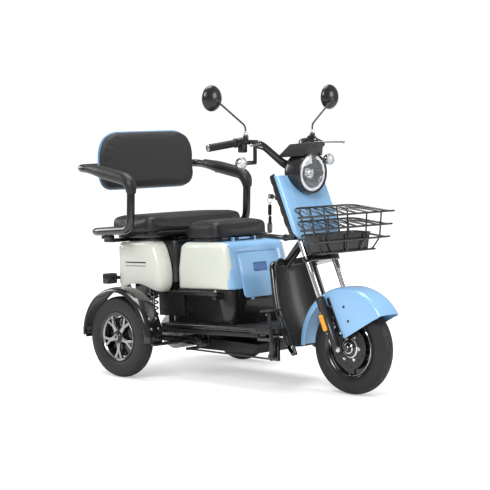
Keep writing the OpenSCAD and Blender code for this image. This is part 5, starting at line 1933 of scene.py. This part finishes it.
@dataclass
class HeadUnit:
    """Headlamp, its cowl, the front panel and the key."""

    lamp: Pair = (808.0, 922.0)
    lamp_r: float = 89.0
    panel_y: float = 142.0
    panel_s: Pair = (497.0, 850.0)
    key: Point = (664.0, -75.0, 818.0)

    def headlamp(self) -> None:
        """Deep round lamp: shell, open white ring, dark bowl, bright projector, clear front."""
        x, z = self.lamp
        c, ahead = (x, 0, z), (x + 1, 0, z)
        shell = [(0, -104), (58, -103), (76, -98), (86, -86), (89, -70), (89, -14), (88, -4), (85.5, 0),
                 (82, 0.6), (79, -1.5), (77.5, -6), (77.5, -40), (70, -48), (0, -52)]
        dress(lathe("headlamp_shell", shell, c, ahead, V, 96), SHELL_BLACK, "steering", "headlamp_housing")
        arc = [math.radians(t) for t in range(110, 431, 5)]
        outline = [Vector((76.5 * math.cos(t), 76.5 * math.sin(t), 0)) for t in arc]
        outline += [Vector((63 * math.cos(t), 63 * math.sin(t), 0)) for t in reversed(arc)]
        ring = slab("headlamp_ring", [outline], 6, 2.2, V @ facing(x - 7, z), 3)
        dress(ring, RING_WHITE, "steering", "headlamp_lens")
        bowl = [(62, -6), (62.5, -9), (52, -24), (38, -36), (26, -42), (0, -44), (0, -46), (28, -45),
                (40, -39), (54, -27), (64, -12), (64, -6)]
        reflector = lathe("bowl", bowl, c, ahead, V, 64)
        for vertex in reflector.data.vertices:
            p = vertex.co - V @ Vector(c)
            turn = math.degrees(math.atan2(p.z, p.y)) % 30
            vertex.co.x += 0.0035 * abs(turn - 15) / 15
        fin = slab("fin", [[Vector(q) for q in ((-17, 60, 0), (17, 60, 0), (11, 24, 0), (-11, 24, 0))]], 16,
                   2, V @ facing(x - 16, z))
        dress(join("headlamp_bowl", smooth(reflector, 25), fin), GLOSS_BLACK, "steering")
        eye = [(0, -22), (9, -23), (15, -27), (17, -31), (21, -27), (25, -24), (27, -26), (25, -44), (0, -44)]
        shine = [lathe("eye", eye, c, ahead, V, 48),
                 lathe("band", [(44, -33), (50, -27), (51, -28.5), (45, -34.5)], c, ahead, V, 64)]
        dress(join("headlamp_projector", *shine), CHROME, "steering")
        front = lathe("headlamp_glass", [(0, 3), (40, 1.6), (70, -1.5), (77.3, -3.4), (77.3, -4.6),
                                         (70, -2.7), (40, 0.4), (0, 1.8)], c, ahead, V, 72)
        dress(front, GLASS, "steering")

    def cowl(self) -> None:
        """Faceted hood over the lamp with a thin raised edge."""
        dress(softened("lamp_hood", "cowl", 3.0), MOULDED_BLACK, "steering", "cowl")

    def width(self, h: float) -> float:
        """Half width of the panel at a height along the fork."""
        over = max(0.0, self.panel_s[0] + 42 - h)
        return self.panel_y - 42 + math.sqrt(max(0.0, 42 ** 2 - over ** 2))

    def panel(self) -> None:
        """Pale panel with rolled sides, a raised middle and two crease lines."""
        low, high = self.panel_s
        heights = [low + 42 * (1 - math.cos(math.radians(7.5 * k))) for k in range(13)]
        heights += [low + 42 + (high - low - 42) * k / 24 for k in range(1, 25)]
        section = [(1.0, 6), (1.0, 13), (0.985, 19), (0.95, 23.5), (0.9, 25.6), (0.72, 26.8), (0.69, 27.0),
                   (0.655, 28.8), (0.61, 29.4), (0.3, 30.6), (0.0, 31.0)]
        full = section + [(-u, x) for u, x in reversed(section[:-1])]
        rows = []
        for h in heights:
            roll = 9 * max(0.0, 1 - (h - low) / 16) ** 2
            rows.append([Vector((x - roll * (1 if x > 8 else 0.3), u * self.width(h), h)) for u, x in full])
        skin = sheet_grid("front_panel_skin", rows, 3.0, F, 0.0008)
        x, z = self.lamp
        hole = bar("hole", (x - 130, 0, z), (x + 30, 0, z), self.lamp_r + 1.2, V, 0, 96)
        top = box("top", (500, -250, 913), (950, 250, 1300), V, 0)
        neck = box("neck", (600, -70, 860), (742, 70, 1000), V, 0)
        carve(skin, hole, top, neck)
        dress(smooth(skin, 40), SKY_BLUE, "steering", "front_panel")

    def back(self) -> None:
        """Dark back cover with a scalloped edge down each side, and the lock."""
        cover = softened("panel_cover", "panel_back", 1.5)
        edges = []
        for s in SIDES:
            outline = [Vector((6, 505, 0)), Vector((6, 796, 0))]
            for k in range(61):
                h = 796 - (796 - 560) * k / 60
                outline.append(Vector((-21 - 4.5 * abs(math.sin(math.pi * (h - 560) / 47)) ** 0.6, h, 0)))
            outline += [Vector((-10, 548, 0)), Vector((-6, 505, 0))]
            edges.append(slab("edge", [outline], 5, 1.6, F @ upright(s * (self.panel_y - 3.5)), 3))
        dress(join("panel_cover", cover, *edges), SHELL_BLACK, "steering", "panel_back")
        x, y, z = self.key
        ring = lathe("lock_ring", [(5, -1), (12.5, -1), (14, 0), (14, 3), (5, 3)], (x, y, z), (x + 1, y, z),
                     V, 40)
        dress(ring, CHROME, "steering")

    def key_set(self) -> None:
        """Key with a moulded bow, and the remote, strap and tag that hang from it."""
        x, y, z = self.key
        blade = box("blade", (x - 20, y - 1.1, z - 3.6), (x + 4, y + 1.1, z + 3.6), V, 0.5)
        pin = bar("pin", (x - 4, y, z), (x + 26, y, z), 2.9, V, 0.4, 20)
        bow = slab("bow", [rounded_rect(x - 50, x - 18, z - 10, z + 10, 7),
                           rounded_rect(x - 46, x - 38, z - 4, z + 4, 3.9)],
                   4.4, 1.4, V @ upright(y))
        dress(join("key_blade", blade, pin), STEEL, "key")
        dress(join("key_bow", bow), MOULDED_BLACK, "key", "key")
        x -= 42
        circle = [Vector((x, y + 14.5 * math.cos(t), z - 14 + 14.5 * math.sin(t)))
                  for t in (math.tau * k / 40 for k in range(40))]
        links = [Vector((x + 0.6, y + 5 * math.cos(t), z - 34 + 8 * math.sin(t)))
                 for t in (math.tau * k / 28 for k in range(28))]
        rings = [tube("ring", circle, 1.2, V, closed=True, detail=4),
                 tube("ring", links, 1.0, V, closed=True, detail=4),
                 bar("link", (x, y, z - 82), (x, y, z - 98), 1.6, V, 0.3, 16)]
        remote = slab("remote", [rounded_rect(y - 9, y + 9, z - 83, z - 34, 8.5)], 9, 3.4, V @ facing(x), 4)
        strap = slab("strap", [rounded_rect(y - 7.5, y + 7.5, z - 120, z - 84, 7)], 7, 2.4,
                     V @ facing(x + 1.5), 4)
        tag = slab("tag", [rounded_rect(y - 15, y + 15, z - 159, z - 110, 13)], 6, 2.2, V @ facing(x), 4)
        dress(join("key_remote", remote, strap), SHELL_BLACK, "key_fobs")
        dress(join("key_tag", tag, *rings), STEEL, "key_fobs", "key_fobs")

    def build(self) -> None:
        """Builds the head unit."""
        self.headlamp()
        self.cowl()
        self.panel()
        self.back()
        self.key_set()


# ---- basket ----
@dataclass
class Basket:
    """Wire basket in three levels with a smoked tray."""

    wire: float = 4.5
    front_y: float = 300.0
    levels: tuple = ((864, 782, 186, 1003, 757, 1.0), (876, 726, 180, 1004, 702, 0.95),
                     (888, 670, 172, 1004, 648, 0.9))

    def level(self, row: tuple) -> list[Object]:
        """One level: long front rail, rear loop with round corners.

        Args:
            row: the level's sizes.

        Returns:
            Its two wires.
        """
        rx, rz, half, fx, fz, k = row
        y = self.front_y * k
        rail = tube("rail", [(fx, -y, fz), (fx, y, fz)], self.wire, V, detail=5)
        loop = bend([(fx, -y * 0.9, fz), (rx, -half, rz), (rx, half, rz), (fx, y * 0.9, fz)], [0, 44, 44, 0],
                    10)
        return [rail, tube("loop", loop, self.wire, V, detail=5)]

    def lattice(self, row: tuple, count: int) -> list[Object]:
        """Zigzag wires between the front rail and the rear loop of a level.

        Args:
            row: the level's sizes.
            count: how many zigzags.

        Returns:
            The wires.
        """
        rx, rz, half, fx, fz, k = row
        path = []
        for i in range(count + 1):
            u = -1 + 2 * i / count
            path.append((fx - 2, u * self.front_y * k * 0.84, fz) if i % 2 else (rx + 2, u * (half - 24), rz))
        return [tube("zig", bend(path, [0] + [9] * (count - 1) + [0], 4), 2.7, V, detail=3)]

    def cage(self) -> None:
        """All wires."""
        wires = []
        for row in self.levels:
            wires += self.level(row)
        wires += self.lattice(self.levels[0], 14) + self.lattice(self.levels[1], 14)
        for f in (-0.8, -0.45, 0, 0.45, 0.8):
            pts = [(1003, f * 270, 757), (1004, f * 256, 648), (1000, f * 200, 600), (920, f * 150, 600),
                   (888, f * 172, 670), (864, f * 186, 782)]
            wires.append(tube("upright", bend(pts, [0, 16, 16, 14, 14, 0], 6), self.wire - 1, V, detail=4))
        wires += [tube("floor", [(x, -y, 600), (x, y, 600)], self.wire, V, detail=4)
                  for x, y in ((920, 140), (1000, 180))]
        for s in SIDES:
            pts = [(920, s * 60, 596.5), (876, s * 60, 583), (852, s * 60, 567)]
            wires.append(tube("stay", bend(pts, [0, 10, 0], 4), self.wire + 2, V, detail=4))
        dress(join("basket_cage", *wires), GLOSS_BLACK, "steering", "basket")

    def tray(self) -> None:
        """Smoked tray with a rolled rim."""
        levels = ((604.2, 924, 992, 150, 14), (607, 922, 993, 152, 16), (640, 909.5, 994, 157, 18),
                  (673, 898, 995, 163, 18))
        rows = []
        for z, x0, x1, y, r in levels:
            rows.append([Vector((p.x, p.y, z)) for p in rounded_rect(x0, x1, -y, y, r, 6)])
        outer = loft("tray", rows, V)
        inner = []
        for z, x0, x1, y, r in levels[1:]:
            flat = rounded_rect(x0 + 3, x1 - 3, -y + 3, y - 3, r - 2, 6)
            inner.append([Vector((p.x, p.y, z + (1 if z > 607 else 0.7))) for p in flat])
        carve(outer, loft("inner", inner, V))
        rim = tube("rim", [Vector((p.x, p.y, 672)) for p in rounded_rect(898, 995, -163, 163, 18, 8)], 3, V,
                   closed=True, detail=4)
        dress(join("basket_tray", smooth(outer, 40), rim), SHELL_BLACK, "steering", "basket_liner")

    def build(self) -> None:
        """Builds the basket."""
        self.cage()
        self.tray()


# ---- running gear ----
@dataclass
class RunningGear:
    """Frame, rear arms, drive, shocks, footrests and pedal."""

    shock: Pair = (54.0, 236.0)
    coil_z: Pair = (191.5, 401.0)
    turns: int = 8
    squashed: float = 0.89
    pan_width: float = 236.0
    link_y: float = -222.0
    pedal_at: Point = (795.0, -243.0, 158.0)

    def shocks(self, s: int) -> None:
        """Spring seats and a closed-end coil spring.

        Args:
            s: the side, -1 right, 1 left.
        """
        x, y = self.shock[0], s * self.shock[1]
        coil = []
        (low, high), steps = self.coil_z, 28
        total = (self.turns + 2) * steps
        for k in range(total + 1):
            t = k / total
            ease = max(0.0, min(1.0, (t * (self.turns + 2) - 1) / self.turns))
            a = math.tau * k / steps
            coil.append(Vector((x + 21 * math.cos(a), y + 21 * math.sin(a), low + (high - low) * ease)))
        spring = tube("spring", coil, 4.0, V, detail=3)
        seats = [lathe("seat", [(15.5, h), (26, h), (26, h + 3), (20, h + 4), (15.5, h + 4)], (x, y, 0),
                       (x, y, 1), V, 40)
                 for h in (187.4, 401)]
        coil_spring = join(f"spring_{NAMES[s]}", spring, *seats)
        dress(coil_spring, SPRING_BLACK, "chassis", "shock_springs")
        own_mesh(coil_spring)

    def rods(self) -> None:
        """Rods and eyes, in one softened piece."""
        dress(softened("damper_rods", "shock_rods", 1.0), CHROME, "shock_rods", "shock_rods")

    def footrests(self, s: int) -> None:
        """Fold-out bar with round ends and a ribbed sleeve.

        Args:
            s: the side, -1 right, 1 left.
        """
        name = f"footrest_{NAMES[s]}"
        body = slab("bar", [rounded_rect(154, 446, 359, 377, 8)], 9, 2.6, B @ upright(s * 221), 4)
        hub = bar("hub", (440, s * 214, 359), (440, s * 214, 377), 13, B, 2)
        groove = [box("rib", (x, s * 225, 361), (x + 3, s * 227, 375), B, 0.6) for x in range(176, 404, 9)]
        dress(join(name + "_bar", body, hub, *groove), BLACK_ALLOY, name, name)
        head = bolt((440, s * 214, 377), (440, s * 214, 383), 6, B)
        dress(join(name + "_bolt", head), STEEL, name)

    def pedal(self) -> None:
        """Brake pedal: curved arm and a ribbed oval pad."""
        x, y, z = self.pedal_at
        path = bend([(x, y, z), (x + 5, y, z + 60), (x - 10, y, z + 130), (x - 24, y + 5, z + 184)],
                    [0, 26, 26, 0], 8)
        widths = [1.35 - 0.5 * k / (len(path) - 1) for k in range(len(path))]
        arm = tube("arm", path, 8, V, widths=widths, detail=6)
        hub = bar("hub", (x, y - 8, z), (x, y + 7, z), 14, V, 2)
        dress(join("pedal_arm", arm, hub), BLACK_ALLOY, "brake_pedal", "brake_pedal")
        tilt = V @ Matrix.Translation((x - 26, y + 22, z + 186)) @ Matrix.Rotation(math.radians(-8), 4, "Y")
        pad = slab("pad", [rounded_rect(-34, 34, -42, 42, 20)], 8, 3, tilt @ Matrix.Translation((0, 0, 4.6)),
                   4)
        ribs = [box("rib", (a, -30, 8), (a + 3.5, 30, 9.8), tilt, 0.7) for a in (-25, -15, -5, 5, 15, 22)]
        dress(join("pedal_pad", pad, *ribs), DARK_STEEL, "brake_pedal")
        screws = [bolt((x - 24, y + 5, z + 176), (x - 30, y - 4, z + 176), 4, V)]
        dress(join("pedal_screw", *screws), BRASS, "brake_pedal")

    def underside(self) -> None:
        """Pan between the floor rails and the brake's link rod with its two eyes."""
        keel = [Vector(p) for p in ((190, 178, 0), (604, 178, 0), (566, 132, 0), (236, 122, 0))]
        dress(slab("belly_pan", [keel], self.pan_width, 6, V @ upright(0)), MOULDED_BLACK, "chassis")
        y, front, rear = self.link_y, (776, 143), (262, 136)
        link = [tube("link", [(front[0], y, front[1]), (rear[0], y, rear[1])], 4, V)]
        for (x, z), inner in ((rear, -112), (front, -196)):
            link.append(bar("eye", (x, y - 6, z), (x, inner, z), 7, V))
        dress(join("brake_link", *link), DARK_STEEL, "chassis")

    def build(self) -> None:
        """Builds the running gear."""
        dress(softened("tube_frame", "main_frame", 1.2), GLOSS_BLACK, "chassis", "main_frame")
        dress(softened("swing_arm_pair", "swing_arm", 2.0), GLOSS_BLACK, "rear_axle", "swing_arm")
        dress(softened("rear_drive", "drive_unit", 3.0), ALLOY, "rear_axle", "drive_unit")
        knob = [bar("knob", (516, -13, 640), (516, 13, 640), 12.6, V, 3),
                bar("collar", (650, 0, 637), (640, 0, 636), 15.5, V, 2)]
        dress(join("hook_knob", *knob), DARK_STEEL, "chassis")
        self.underside()
        for s in SIDES:
            self.shocks(s)
            self.footrests(s)
        self.rods()
        self.pedal()


def main() -> None:
    """Builds the pieces in order and logs each."""
    Studio().build()
    for part in (RunningGear(), Deck(), Wheels(), ForkSet(), RearBody(), FrontBody(), SeatSet(), Cockpit(),
                 HeadUnit(), Basket()):
        before = set(bpy.data.objects)
        part.build()
        for obj in sorted(set(bpy.data.objects) - before, key=lambda item: item.name):
            LOG.info("%s: %s, %d faces", type(part).__name__, obj.name, len(obj.data.polygons))


if __name__ == "__main__":
    main()
